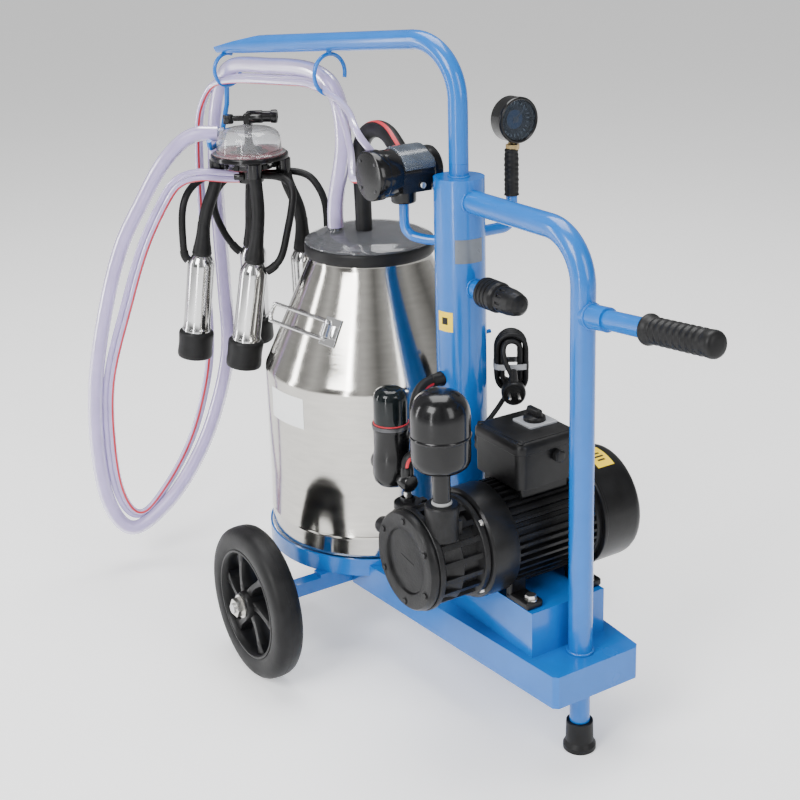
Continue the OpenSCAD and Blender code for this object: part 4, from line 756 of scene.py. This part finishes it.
cups = [(84, 5, 7.4, 0, 52, 0), (-76, -14, 0, 7.7, -52, 0), (9, -49, 1.6, 9.6, 3, -46), (-6, 60, 8.9, 0, -12, 46)]
shells, liners, tops = [], [], []
for c in cups:
    up = (Matrix.Rotation(R(-c[2]), 3, "Y") @ Matrix.Rotation(R(-c[3]), 3, "X")) @ Vector((0, 0, 1))
    upw = (CX * up.x + CY * up.y + Vector((0, 0, 1)) * up.z).normalized()
    top = LC(c[0], c[1], 548)
    base0 = top - upw * 0.548
    cu = lambda h: (c[0] + up.x * h, c[1] + up.y * h, 548 + up.z * h)
    shells.append(lathe("s", [(19.6, 414), (22.4, 414.2), (22.9, 416), (22.9, 423.6), (22.2, 425.4), (21.6, 427), (21.5, 440), (21.5, 529), (21.2, 532), (20, 536.6), (17.2, 541.8),
        (15.2, 545.6), (13, 547.6), (11.2, 548.2), (11.0, 546.6), (14, 543), (18.6, 534), (19.8, 528), (19.8, 430)], base0, upw, 72, hint=tuple(CX), closed=True))
    liners.append(lathe("l", [(12.2, 381), (13, 376.4), (16, 374.8), (24, 374.9), (26.6, 376), (27.9, 378.6), (28.1, 384), (27.5, 392), (27.3, 400), (27.8, 409), (28.1, 414), (27.4, 417.6), (25.4, 419.8),
        (22.4, 420.4), (20, 420.4), (20, 400), (12.4, 398), (12.0, 430), (11.8, 381.5)], base0, upw, 72, hint=tuple(CX), closed=True))
    # rubber head with a few moulded ribs, then the milk tube
    liners.append(lathe("l", [(0, 546), (14.6, 547), (15.6, 548.4), (15.7, 551), (14.9, 552), (15.2, 554), (14.4, 556), (14.6, 558.4), (13.6, 562), (12.6, 568), (11.4, 576), (10.4, 588), (10.0, 600), (0, 600)], base0, upw, 56, hint=tuple(CX)))
    path = [LC(*cu(30)), LC(*cu(50)), LC(*cu(74)), LC((cu(95)[0] + c[4]) / 2, (cu(95)[1] + c[5]) / 2, (cu(95)[2] + 640) / 2), LC(c[4], c[5], 668), LC(c[4], c[5], 684), LC(c[4], c[5], 700)]
    liners.append(tube("l", soften(resample(catmull(path, 8), 0.004), 60), 0.0100, hint=tuple(CX), sides=28))
    na = 0 if c[0] > 50 else 180 if c[0] < -50 else 180 if c[1] > 0 else 0
    # elbow nipple on the shell's shoulder
    lx = Matrix.Rotation(R(-c[2]), 3, "Y") @ Matrix.Rotation(R(-c[3]), 3, "X")
    dl = lx @ (Matrix.Rotation(R(na), 3, "Z") @ Vector((math.sin(R(60)), 0, math.cos(R(60)))))
    pl = lx @ (Matrix.Rotation(R(na), 3, "Z") @ Vector((17.5, 0, -15)))
    dw = (CX * dl.x + CY * dl.y + Vector((0, 0, 1)) * dl.z).normalized()
    tops.append([(c[0] + pl.x + dl.x * k, c[1] + pl.y + dl.y * k, 548 + pl.z + dl.z * k) for k in (4.0, 9.0)])
    shells.append(lathe("s", [(0, 0), (5.2, 0), (5.2, 1.4), (4, 2.2), (4, 10), (0, 10)], LC(c[0] + pl.x, c[1] + pl.y, 548 + pl.z), dw, 24))
o = join("cup_shells_set", shells)
put(o, POLISH, "claw", smooth=40, replaces=["cup_shells"])
o = join("cup_liners_set", liners)
put(o, RUBBER, "claw", smooth=42, replaces=["cup_liners"])
pt = [[(112, 5, 540), (113, 3, 560), (112, 0, 612), (104, -10, 642), (86, -18, 661), (62, -20, 670), (40, -16, 668), (19, -9, 668)],
    [(-105, -16, 545), (-114, -16, 560), (-116, -14, 595), (-114, -10, 625), (-106, -8, 648), (-90, -14, 667), (-64, -18, 674), (-40, -12, 673), (-20, -8, 673)],
    [(38, -51, 541), (48, -52, 556), (59, -54, 576), (68, -54, 603), (66, -48, 630), (50, -46, 654), (26, -42, 668), (8, -26, 674), (3, -20.5, 674.5)],
    [(-34, 60, 539), (-43, 60, 546), (-51, 58, 562), (-58, 56, 590), (-66, 52, 625), (-69, 44, 652), (-62, 34, 668), (-44, 22, 674), (-19, 10, 674)]]
tubes = []
for t4, nip in zip(pt, tops):
    pth = soften(resample(catmull([LC(*p) for p in nip + t4[1:]], 8), 0.003), 5)
    tubes.append(tube("t", pth, 0.0058, hint=(0, 0, 1), sides=20))
    # thicker moulded ends
    tubes.append(tube("t", pth[:7], 0.0068, hint=(0, 0, 1), sides=20))
o = join("pulse_tubes_set", tubes)
put(o, RUBBER, "claw", smooth=50, replaces=["pulse_tubes"])
# claw bowl, seal disc, dome and lever
parts = [lathe("b", [(0, 662), (18.6, 662), (20.4, 663), (21, 665), (21, 683), (22.4, 685), (37, 686), (39.4, 687), (42, 692), (52, 698.6), (60, 700.6), (61, 701.4), (61, 706), (60.4, 707.4), (58.6, 708), (44, 708), (40, 706), (36, 704), (0, 703)], claw0, segs=112),
         lathe("b", [(7, 0), (8.6, 0.6), (8.6, 4), (7, 5), (7, 15), (6.4, 16), (0, 16)], LC(8, 14, 674), tuple(CX), 32)]
for c in cups:
    parts.append(lathe("b", [(0, 676), (11.6, 677), (11.9, 679), (11.9, 699), (0, 700)], claw0 + (CX * c[4] + CY * c[5]) / 1000, segs=40))
for k in range(12):
    a = R(30 * k + 8)
    parts.append(bar("b", (3.2, 7, 10), claw0 + (CX * math.cos(a) + CY * math.sin(a)) * 0.0435 + Vector((0, 0, 0.693)), Matrix.Rotation(a + math.atan2(S2, S1), 3, "Z")))
o = join("claw_body", parts)
put(o, GLOSS, "claw", smooth=38, replaces=["claw_bowl"])
o = join("claw_seal_ring", [lathe("r", [(36, 703.6), (50, 708.1), (50, 709.6), (44, 711), (30, 708)], claw0, segs=96, closed=True), lathe("r", [(22, 684.6), (35, 684.6), (37.4, 686.4), (37.4, 687.6), (22, 687.6)], claw0, segs=96, closed=True)])
put(o, MAROON, "claw", smooth=40)
dome = [(57, 708.2), (57.2, 710.4), (55, 712), (51.6, 713.6), (50.6, 717), (50.2, 728), (49.4, 734), (46.6, 740), (41, 744.6), (33, 748), (20, 750), (8.4, 751), (8, 754), (6.1, 754),
        (6.1, 748), (18, 747.2), (32, 745.2), (39, 742), (44.4, 737.6), (47, 732), (47.6, 727), (47.6, 715), (42, 711), (42, 708.2)]
o = join("claw_clear_dome", [lathe("d", dome, claw0, segs=112, closed=True),
    lathe("d", [(6.4, 0), (9.4, 0), (9.4, 9), (10.4, 10), (9.6, 12), (9.2, 16), (6.4, 16)], LC(38.5, 0, 740), tuple(CX), 40, closed=True)])
put(o, CLEAR, "claw", smooth=42, replaces=["claw_dome"])
RZ = Matrix.Rotation(math.atan2(S2, S1), 3, "Z")
parts = [lathe("v", [(0, 700), (5.8, 700), (5.8, 710), (18, 711.4), (20, 712.6), (20, 715), (18.4, 716.4), (9, 719), (6.6, 726), (5.9, 732), (5.9, 757), (0, 757)], claw0, segs=48)]
o = join("claw_valve_stem", parts)
put(o, GLOSS, "claw_valve", smooth=40)
parts = [bar("v", (13, 12, 15), LC(0, 0, 762.5), RZ), bar("v", (34, 9, 8), LC(15, 0, 763), RZ), bar("v", (8, 20, 5), LC(-2, 0, 771), RZ)]
o = join("claw_lever", parts)
put(o, GLOSS, "claw_valve", smooth=35, bevel=0.0018, segs=3, replaces=["claw_valve"])
parts = [lathe("v", [(0, 0), (7.4, 0), (8.2, 1.2), (8.2, 12.8), (7.4, 14), (0, 14)], LC(30, 0, 755), segs=36),
         lathe("v", [(0, 0), (9, 0), (10, 1.4), (10, 20), (8.8, 21), (8.8, 33), (10.4, 34), (10.8, 41), (10, 43.6), (7.6, 44), (6.6, 40), (0, 40)], LC(-3, 0, 765), tuple(-CX), 40)]
o = join("claw_lever_ends", parts)
put(o, GLOSS, "claw_valve", smooth=38)

# ------------------------------------------------------------------ pulsator
def PF(x, y, z):
    """Pulsator's own frame, as in the CAD: x along +Y, y along -X, 20 mm up."""
    return M(-64 - y, -48 + x, z + 20)


PX = (0, 1, 0)
parts = [lathe("p", [(0, -56.2), (31, -56.2), (33.4, -55.4), (34.5, -53), (34.5, -40), (34, -38.4), (32.6, -37.6), (32.6, -19), (31, -16.6), (0, -16)], PF(0, 0, 716), PX, 112)]
parts.append(lathe("p", [(0, -37), (30.4, -37), (30.4, 32), (31.4, 33), (31.4, 42), (30.6, 45.4), (28, 48), (22, 49.4), (0, 50)], PF(0, 0, 716), PX, 112))
parts.append(bar("p", (58, 46, 26), PF(4, 0, 704)))
parts.append(lathe("p", [(0, 672.6), (15.6, 672.8), (17, 674), (17.5, 676), (17.5, 694), (0, 694)], PF(0, 0, 0), segs=56))
parts.append(lathe("p", [(0, 0), (8.6, 0), (8.6, 16), (10, 17.4), (9.4, 20.4), (8.8, 27), (0, 27.2)], PF(20, 18, 718.6), tuple(Vector((-math.sin(R(50)), 0, math.cos(R(50))))), 32))
parts.append(lathe("p", [(0, 0), (4.4, 0), (4.4, 17), (3.6, 18), (0, 18)], PF(-40, 6, 741), tuple(pd1), 24))
parts.append(lathe("p", [(0, 0), (4.4, 0), (4.4, 17), (3.6, 18), (0, 18)], PF(-46, 26, 706), tuple(pd2), 24))
o = join("pulsator_case", parts)
put(o, GLOSS, "cart", smooth=40, replaces=["pulsator_body"])
# adjusting screw of the pulse rate
sc = join("pulse_rate_screw", [lathe("s", [(0, -0.2), (4.2, -0.2), (4.2, 1.8), (3.4, 2.6), (2.6, 2.2), (0, 2)], PF(12, -30.4, 700), (1, 0, 0), 28)])
put(sc, ZINC, "pulsator_screw", smooth=38, replaces=["pulsator_screw"])
# small screws in the end disc
parts = [lathe("s", [(0, 0), (2.2, 0), (2.2, 1), (1.4, 1.5), (0, 1.5)], PF(-56, 26 * math.cos(R(a)), 716 + 26 * math.sin(R(a))), (0, -1, 0), 16) for a in (45, 135, 225, 315)]
o = join("pulsator_disc_screws", parts)
put(o, DARKMETAL, "cart", smooth=35)
prof = [(-31.4, 722), (-31.6, 729), (-29, 734.4), (-14, 743.4), (-4, 748.4), (4, 750.4), (12, 750.2), (20, 746), (26, 738), (28.6, 730), (28.6, 724), (20, 722)]
vs, fs = [], []
for x in (-15.6, 33.6):
    for y, z in prof:
        vs.append(PF(x, y, z))
m = len(prof)
for j in range(m):
    j2 = (j + 1) % m
    fs.append((j, j2, m + j2, m + j))
fs.append(tuple(range(m))); fs.append(tuple(reversed(range(m, 2 * m))))
o = mesh_obj("pulsator_clear_cover", vs, fs)
put(o, GLASSG, "cart", smooth=40, bevel=0.0022, segs=3, replaces=["pulsator_cover"])

# ------------------------------------------------------------------ plates, stickers and weld beads
o = patch("rating_plate_blank", 35, -46, 22, 620, 653, axis_xy=(0, 0), off=0.35)
put(o, GREYL, "cart", smooth=60)
o = patch("column_sticker_blank", 35, -94, -53, 523, 551, axis_xy=(0, 0), off=0.3)
put(o, YELLOW, "cart", smooth=60)
o = patch("column_sticker_mark", 35, -81, -66, 533, 543, axis_xy=(0, 0), off=0.5)
put(o, PLASTIC, "cart", smooth=60)


def weld(name, center, axis, r, w=1.7, n=34, fn=None):
    d, u, v = frame_axes(axis)
    vs, fs = [], []
    seg, sides = 144, 8
    for k in range(seg):
        a = 2 * math.pi * k / seg
        rad = u * math.cos(a) + v * math.sin(a)
        c = Vector(center) + rad * (r / 1000) + d * ((fn(a) if fn else 0) / 1000)
        ww = w * (1 + 0.28 * abs(math.sin(n * a / 2))) / 1000
        for j in range(sides):
            b = 2 * math.pi * j / sides
            vs.append(c + rad * (math.cos(b) * ww) + d * (math.sin(b) * ww * 1.25))
    for k in range(seg):
        for j in range(sides):
            k2, j2 = (k + 1) % seg, (j + 1) % sides
            fs.append((k * sides + j, k * sides + j2, k2 * sides + j2, k2 * sides + j))
    return mesh_obj(name, vs, fs)


beads = [weld("w", M(0, 0, 145.4), (0, 0, 1), 35.6), weld("w", M(31, 0, 703), (1, 0, 0), 16.6), weld("w", M(263, 0, 145.4), (0, 0, 1), 16.6),
         weld("w", M(34, 0, 584), (1, 0, 0), 12.6, 1.3), weld("w", M(0, 0, 733.4), (0, 0, 1), 13.8, 1.2), weld("w", M(280, 0, 605.8), (0.9956, 0, 0.094), 15.8, 1.4)]
o = join("weld_beads", beads)
put(o, BLUE, "cart", smooth=60)

# ------------------------------------------------------------------ terminal box
def rbox(name, x0, y0, x1, y1, prof, rad, seg=10):
    vs, fs = [], []
    ring = 4 * (seg + 1)
    for inset, z in prof:
        rr = max(0.8, rad - inset)
        for q, (cx, cy) in enumerate(((x1 - rad, y1 - rad), (x0 + rad, y1 - rad), (x0 + rad, y0 + rad), (x1 - rad, y0 + rad))):
            for k in range(seg + 1):
                a = R(90 * q + 90 * k / seg)
                ex = min(0, rad - inset - 0.8)
                vs.append(M(cx + (rr + 0) * math.cos(a) + ex * (1 if math.cos(R(90 * q + 45)) > 0 else -1), cy + rr * math.sin(a) + ex * (1 if math.sin(R(90 * q + 45)) > 0 else -1), z))
    for i in range(len(prof) - 1):
        for k in range(ring):
            k2 = (k + 1) % ring
            fs.append((i * ring + k, i * ring + k2, (i + 1) * ring + k2, (i + 1) * ring + k))
    fs.append(tuple(range(ring))); fs.append(tuple(range((len(prof) - 1) * ring, len(prof) * ring)))
    return mesh_obj(name, vs, fs)


o = rbox("terminal_box_shell", 89, -45, 193, 53, [(3, 353), (1, 354), (0.6, 356), (0, 400), (0, 404)], 12)
put(o, PLASTIC, "cart", smooth=40, replaces=["terminal_box"])
parts = [rbox("l", 87, -47, 195, 55, [(1, 402.6), (0, 403.4), (0, 410), (0.6, 413), (2.2, 415.8), (5, 417.6), (8, 418), (10.4, 418)], 14),
         rbox("l", 95, -39, 187, 47, [(0, 417.6), (0.4, 418.6), (1.4, 419)], 9)]
for x, y in ((97, -37), (185, -37), (97, 45), (185, 45)):
    parts.append(lathe("l", [(0, 0), (5.4, 0), (5.4, 1.2), (4.4, 1.8), (3.4, 1.0), (0, 0.8)], M(x, y, 417.6), segs=24))
parts.append(lathe("l", [(0, 0), (9, 0), (9, 6.4), (7.6, 7.6), (5, 8), (0, 8)], M(195, 15, 392), (1, 0, 0), 6))
o = join("terminal_box_cap", parts)
put(o, PLASTIC, "cart", smooth=40, replaces=["box_lid"])
parts = [rbox("p", 116, 0, 158, 46, [(0, 418), (0, 421), (0.6, 421.6), (1.6, 421.8)], 3)]
o = join("switch_plate", parts)
put(o, GREYP, "cart", smooth=40)
parts = [lathe("k", [(0, 420.2), (15, 420.2), (15.2, 421.4), (15.2, 425.4), (14.4, 427.4), (12.6, 428.6), (0, 429)], M(137, 22, 0), segs=56),
         lathe("k", [(0, 408), (4, 408), (4, 422), (0, 422)], M(137, 22, 0), segs=24)]
o = join("switch_knob_disc", parts)
put(o, PLASTIC, "switch_knob", smooth=38, replaces=["switch_knob"])
o = bar("switch_knob_grip", (27, 8.4, 12), M(137, 22, 433))
put(o, PLASTIC, "switch_knob", smooth=38, bevel=0.003, segs=4)

# ------------------------------------------------------------------ handle grip
gd = Vector((math.cos(R(5.4)), 0, math.sin(R(5.4))))
g0 = M(283, 0, 605 + 13 * math.tan(R(5.4)))
GP = [(12.5, 98.4), (17.6, 98.2), (18.9, 99.2), (19.2, 101), (18.6, 103.4), (17, 106), (15.9, 108.6), (15.9, 111)]
for k in range(58):
    h = 112 + k * 1.5
    GP.append((15.8 + 0.75 * math.cos((h - 116) * math.pi * 2 / 10.4), h))
GP += [(16.3, 200), (16.6, 204), (16.2, 207.4), (14.8, 210), (12, 211.8), (6, 212.6), (0, 212.7)]
o = lathe("handle_grip_rubber", GP, g0, tuple(gd), 72, hint=(0, 1, 0))
put(o, RUBBER, "pull_handle", smooth=50, replaces=["handle_grip"])

# ------------------------------------------------------------------ gauge
gc = M(0, 92, 800)
X = (1, 0, 0)
parts = [lathe("g", [(0, -14), (26, -14), (29.6, -12.8), (31.2, -10), (31.2, 7.4), (31.9, 8.4), (32, 12), (31.2, 13.6), (29.4, 14), (28, 13.2), (27.5, 11.6), (27.5, 1), (0, 1)], gc, X, 112),
         lathe("g", [(0, 763), (7.4, 763), (7.4, 770), (0, 770)], M(0, 92, 0), segs=6)]
o = join("gauge_housing", parts)
put(o, GLOSS, "cart", smooth=38, replaces=["gauge_case"])
parts = [tint(lathe("d", [(0, 1.1), (27.2, 1.1), (27.2, 1.5), (0, 1.5)], gc, X, 72), 0), tint(lathe("d", [(0, 1.4), (13, 1.4), (13, 2.0), (0, 2.0)], gc, X, 56), 1)]
for k in range(19):
    a = R(-45 + 15 * k)
    rot = Matrix.Rotation(-a, 3, "X")
    parts.append(tint(bar("t", (0.4, 0.9, 4.6 if k % 3 == 0 else 2.8), gc + Vector((0.0018, 0, 0)) + rot @ Vector((0, 0, 0.0226)), rot), 2))
o = join("gauge_dial", parts)
put(o, [DIAL, DIALB, WHITE], "cart", smooth=40)
o = lathe("gauge_glass", [(0, 9.6), (27.4, 9.6), (27.4, 11.4), (0, 11.9)], gc, X, 96)
put(o, LENS, "cart", smooth=40, replaces=["gauge_lens"])
sl = [(0, 0.4), (9.2, 0.4)]
for k in range(44):
    h = 1 + k * 1.48
    sl.append((9.9 + 0.35 * math.sin(h * 0.9) + (0.5 if k % 7 == 0 else 0) - 0.9 * max(0, (h - 52) / 14), h))
sl += [(8.2, 66), (0, 66)]
o = lathe("gauge_sleeve_wrap", sl, M(0, 88, 694), segs=48)
put(o, RUBBER, "cart", smooth=50, replaces=["gauge_sleeve"])
o = lathe("gauge_brass_union", [(0, 758.6), (9.6, 758.6), (9.6, 765.6), (7, 766.4), (6, 768), (0, 768)], M(0, 90, 0), segs=6)
put(o, BRASS, "cart", smooth=30)

# ------------------------------------------------------------------ mains lead, hank and plug
HX, HY = Vector((math.cos(R(-33)), math.sin(R(-33)), 0)), Vector((-math.sin(R(-33)), math.cos(R(-33)), 0))
hc = M(30, 63, 0)


def HK(x, y, z):
    return hc + (HX * x + HY * y + Vector((0, 0, z))) / 1000


def race(t, rho):
    """A point of the racetrack after t turns, from the middle of its foot."""
    q = math.pi * rho / 2
    per = 2 * math.pi * rho + 84
    d = (t % 1.0) * per
    if d < q:
        a = -90 + 90 * d / q
        return rho * math.cos(R(a)), 445 + rho * math.sin(R(a))
    d -= q
    if d < 42:
        return rho, 445 + d
    d -= 42
    if d < 2 * q:
        a = 180 * d / (2 * q)
        return rho * math.cos(R(a)), 487 + rho * math.sin(R(a))
    d -= 2 * q
    if d < 42:
        return -rho, 487 - d
    d -= 42
    a = 180 + 90 * d / q
    return rho * math.cos(R(a)), 445 + rho * math.sin(R(a))


lead = [M(*p) for p in [(84, -20, 376), (71, -20, 376), (60, -18.6, 376.6), (50, -8, 382), (46, 14, 396), (42, 34, 410), (39, 45, 418)]]
n1 = 112
for i in range(1, n1 + 1):          # outer layer, three and a half turns
    t = 3.5 * i / n1
    y, z = race(t, 20.5)
    lead.append(HK(13.3 - 7.6 * t, y, z))
for i in range(1, 17):              # step down to the inner layer
    w = i / 16
    y, z = race(3.5 + 0.5 * w, 20.5 - 8 * w)
    lead.append(HK(-13.3, y, z))
for i in range(1, n1 + 1):          # inner layer
    t = 3.5 * i / n1
    y, z = race(t, 12.5)
    lead.append(HK(-13.3 + 7.6 * t, y, z))
lead += [HK(*p) for p in [(16, -9, 497), (22, -12, 486), (29, -8, 470), (33, -2, 458), (33.5, 1, 448), (33.5, 1, 440)]]
lead = soften(resample(catmull(lead, 3), 0.003), 3)
o = tube("mains_lead", lead, 0.0035, hint=(0, 0, 1), sides=14)
put(o, RUBBER, "cart", smooth=60, replaces=["power_cord", "cord_hank"])
pc = HK(25.5, 1.1, 432)
pl = [lathe("p", [(0, -3), (12, -3), (15.4, -1.8), (17, 1.4), (17, 14), (16.4, 17), (14.6, 19), (13.4, 19), (13, 17.8), (0, 17.8)], pc, tuple(HX), 56, hint=(0, 0, 1)),
      lathe("p", [(0, 444), (7, 444), (6.6, 452), (5.6, 458), (4.6, 464), (0, 464)], HK(33.5, 1, 0), segs=28)]
plug_body = join("mains_plug", pl)
put(plug_body, PLASTIC, "cart", smooth=40, replaces=["plug"])
pins = join("mains_plug_pins", [lathe("p", [(0, 16), (2.1, 16), (2.1, 35.6), (1.6, 37.2), (0, 38)], pc + HY * (k * 0.0064), tuple(HX), 24) for k in (-1, 1)])
put(pins, ZINC, "cart", smooth=40)
strap = []
for k in range(49):
    a = 2 * math.pi * k / 48
    x, y = 17.6 * abs(math.cos(a)) ** 0.5 * (1 if math.cos(a) >= 0 else -1), 24.9 * abs(math.sin(a)) ** 0.5 * (1 if math.sin(a) >= 0 else -1)
    strap.append((x, y))
vs, fs = [], []
for x, y in strap[:-1]:
    for z, k in ((458, 1), (466, 1), (466, 0.95), (458, 0.95)):
        vs.append(HK(x * k, y * k, z))
m = len(strap) - 1
for i in range(m):
    i2 = (i + 1) % m
    for j in range(4):
        j2 = (j + 1) % 4
        fs.append((i * 4 + j, i * 4 + j2, i2 * 4 + j2, i2 * 4 + j))
o = mesh_obj("hank_strap", vs, fs)
put(o, GREYP, "cart", smooth=40)

# ------------------------------------------------------------------ stage, camera, light
bpy.ops.mesh.primitive_plane_add(size=80, location=(0, 0, 0))
floor = bpy.context.object
floor.name = "floor"
FLOOR = material("floor", (0.9, 0.9, 0.9), 0.75, vary=0.01, scale=3)
fb = FLOOR.node_tree.nodes["Principled BSDF"]
fb.inputs["Emission Color"].default_value = (1, 1, 1, 1)
fb.inputs["Emission Strength"].default_value = 0.45
floor.data.materials.append(FLOOR)

world = scene.world or bpy.data.worlds.new("world")
scene.world = world
world.use_nodes = True
bg = world.node_tree.nodes["Background"]
bg.inputs["Strength"].default_value = 0.62
# soft boxes and dark gaps round the studio, seen only in reflections
wt = world.node_tree
tc = wt.nodes.new("ShaderNodeTexCoord")
sep = wt.nodes.new("ShaderNodeSeparateXYZ")
wt.links.new(tc.outputs["Generated"], sep.inputs["Vector"])
at = wt.nodes.new("ShaderNodeMath"); at.operation = "ARCTAN2"
wt.links.new(sep.outputs["Y"], at.inputs[0]); wt.links.new(sep.outputs["X"], at.inputs[1])
mr = wt.nodes.new("ShaderNodeMapRange")
mr.inputs["From Min"].default_value = -math.pi; mr.inputs["From Max"].default_value = math.pi
wt.links.new(at.outputs[0], mr.inputs["Value"])
rp = wt.nodes.new("ShaderNodeValToRGB")
el = rp.color_ramp.elements
stops = [(0.0, 0.5), (0.10, 0.9), (0.16, 0.18), (0.22, 1.5), (0.27, 0.3), (0.33, 0.22), (0.38, 1.3), (0.43, 0.35), (0.48, 1.1), (0.53, 0.2), (0.60, 0.9), (0.68, 0.3), (0.78, 0.9), (0.9, 0.35), (1.0, 0.5)]
el[0].position, el[0].color = stops[0][0], (stops[0][1],) * 3 + (1,)
el[1].position, el[1].color = stops[-1][0], (stops[-1][1],) * 3 + (1,)
for q, v in stops[1:-1]:
    e = el.new(q); e.color = (v, v, v, 1)
wt.links.new(mr.outputs["Result"], rp.inputs["Fac"])
wt.links.new(rp.outputs["Color"], bg.inputs["Color"])


def area(name, loc, target, size, power, size_y=None):
    l = bpy.data.lights.new(name, "AREA")
    l.energy = power
    l.size = size
    if size_y:
        l.shape = "RECTANGLE"; l.size_y = size_y
    o = bpy.data.objects.new(name, l)
    scene.collection.objects.link(o)
    o.location = loc
    o.rotation_euler = (Vector(target) - Vector(loc)).to_track_quat("-Z", "Y").to_euler()
    return o


area("key", (0.9, -2.8, 2.7), (0, 0, 0.4), 1.6, 125)
area("side", (3.0, 0.4, 1.8), (0, 0, 0.5), 1.0, 45, 2.2)
area("top", (-0.6, 0.3, 3.2), (-0.1, 0, 0.4), 2.0, 110)
area("strip_left", (-1.7, -2.3, 0.9), (-0.22, 0, 0.3), 0.28, 22, 1.6)
area("strip_right", (1.0, -2.0, 0.8), (-0.22, 0, 0.3), 0.16, 14, 1.6)

cam_data = bpy.data.cameras.new("camera")
cam_data.sensor_width = 36
cam_data.lens = 64.906
cam_data.shift_x = -0.0378
cam_data.shift_y = -0.1533
cam_data.dof.use_dof = False
cam_data.clip_end = 50
cam = bpy.data.objects.new("camera", cam_data)
scene.collection.objects.link(cam)
yaw, pitch, roll = R(146.76), R(15.90), R(-1.24)
f = Vector((math.cos(pitch) * math.cos(yaw), math.cos(pitch) * math.sin(yaw), -math.sin(pitch)))
r = f.cross(Vector((0, 0, 1))).normalized()
u = r.cross(f)
r2 = r * math.cos(roll) + u * math.sin(roll)
u2 = -r * math.sin(roll) + u * math.cos(roll)
cm = Matrix.Identity(4)
for i in range(3):
    cm[i][0], cm[i][1], cm[i][2] = r2[i], u2[i], -f[i]
cm[0][3], cm[1][3], cm[2][3] = 1.59351, -1.0757, 1.1336
cam.matrix_world = cm
scene.camera = cam
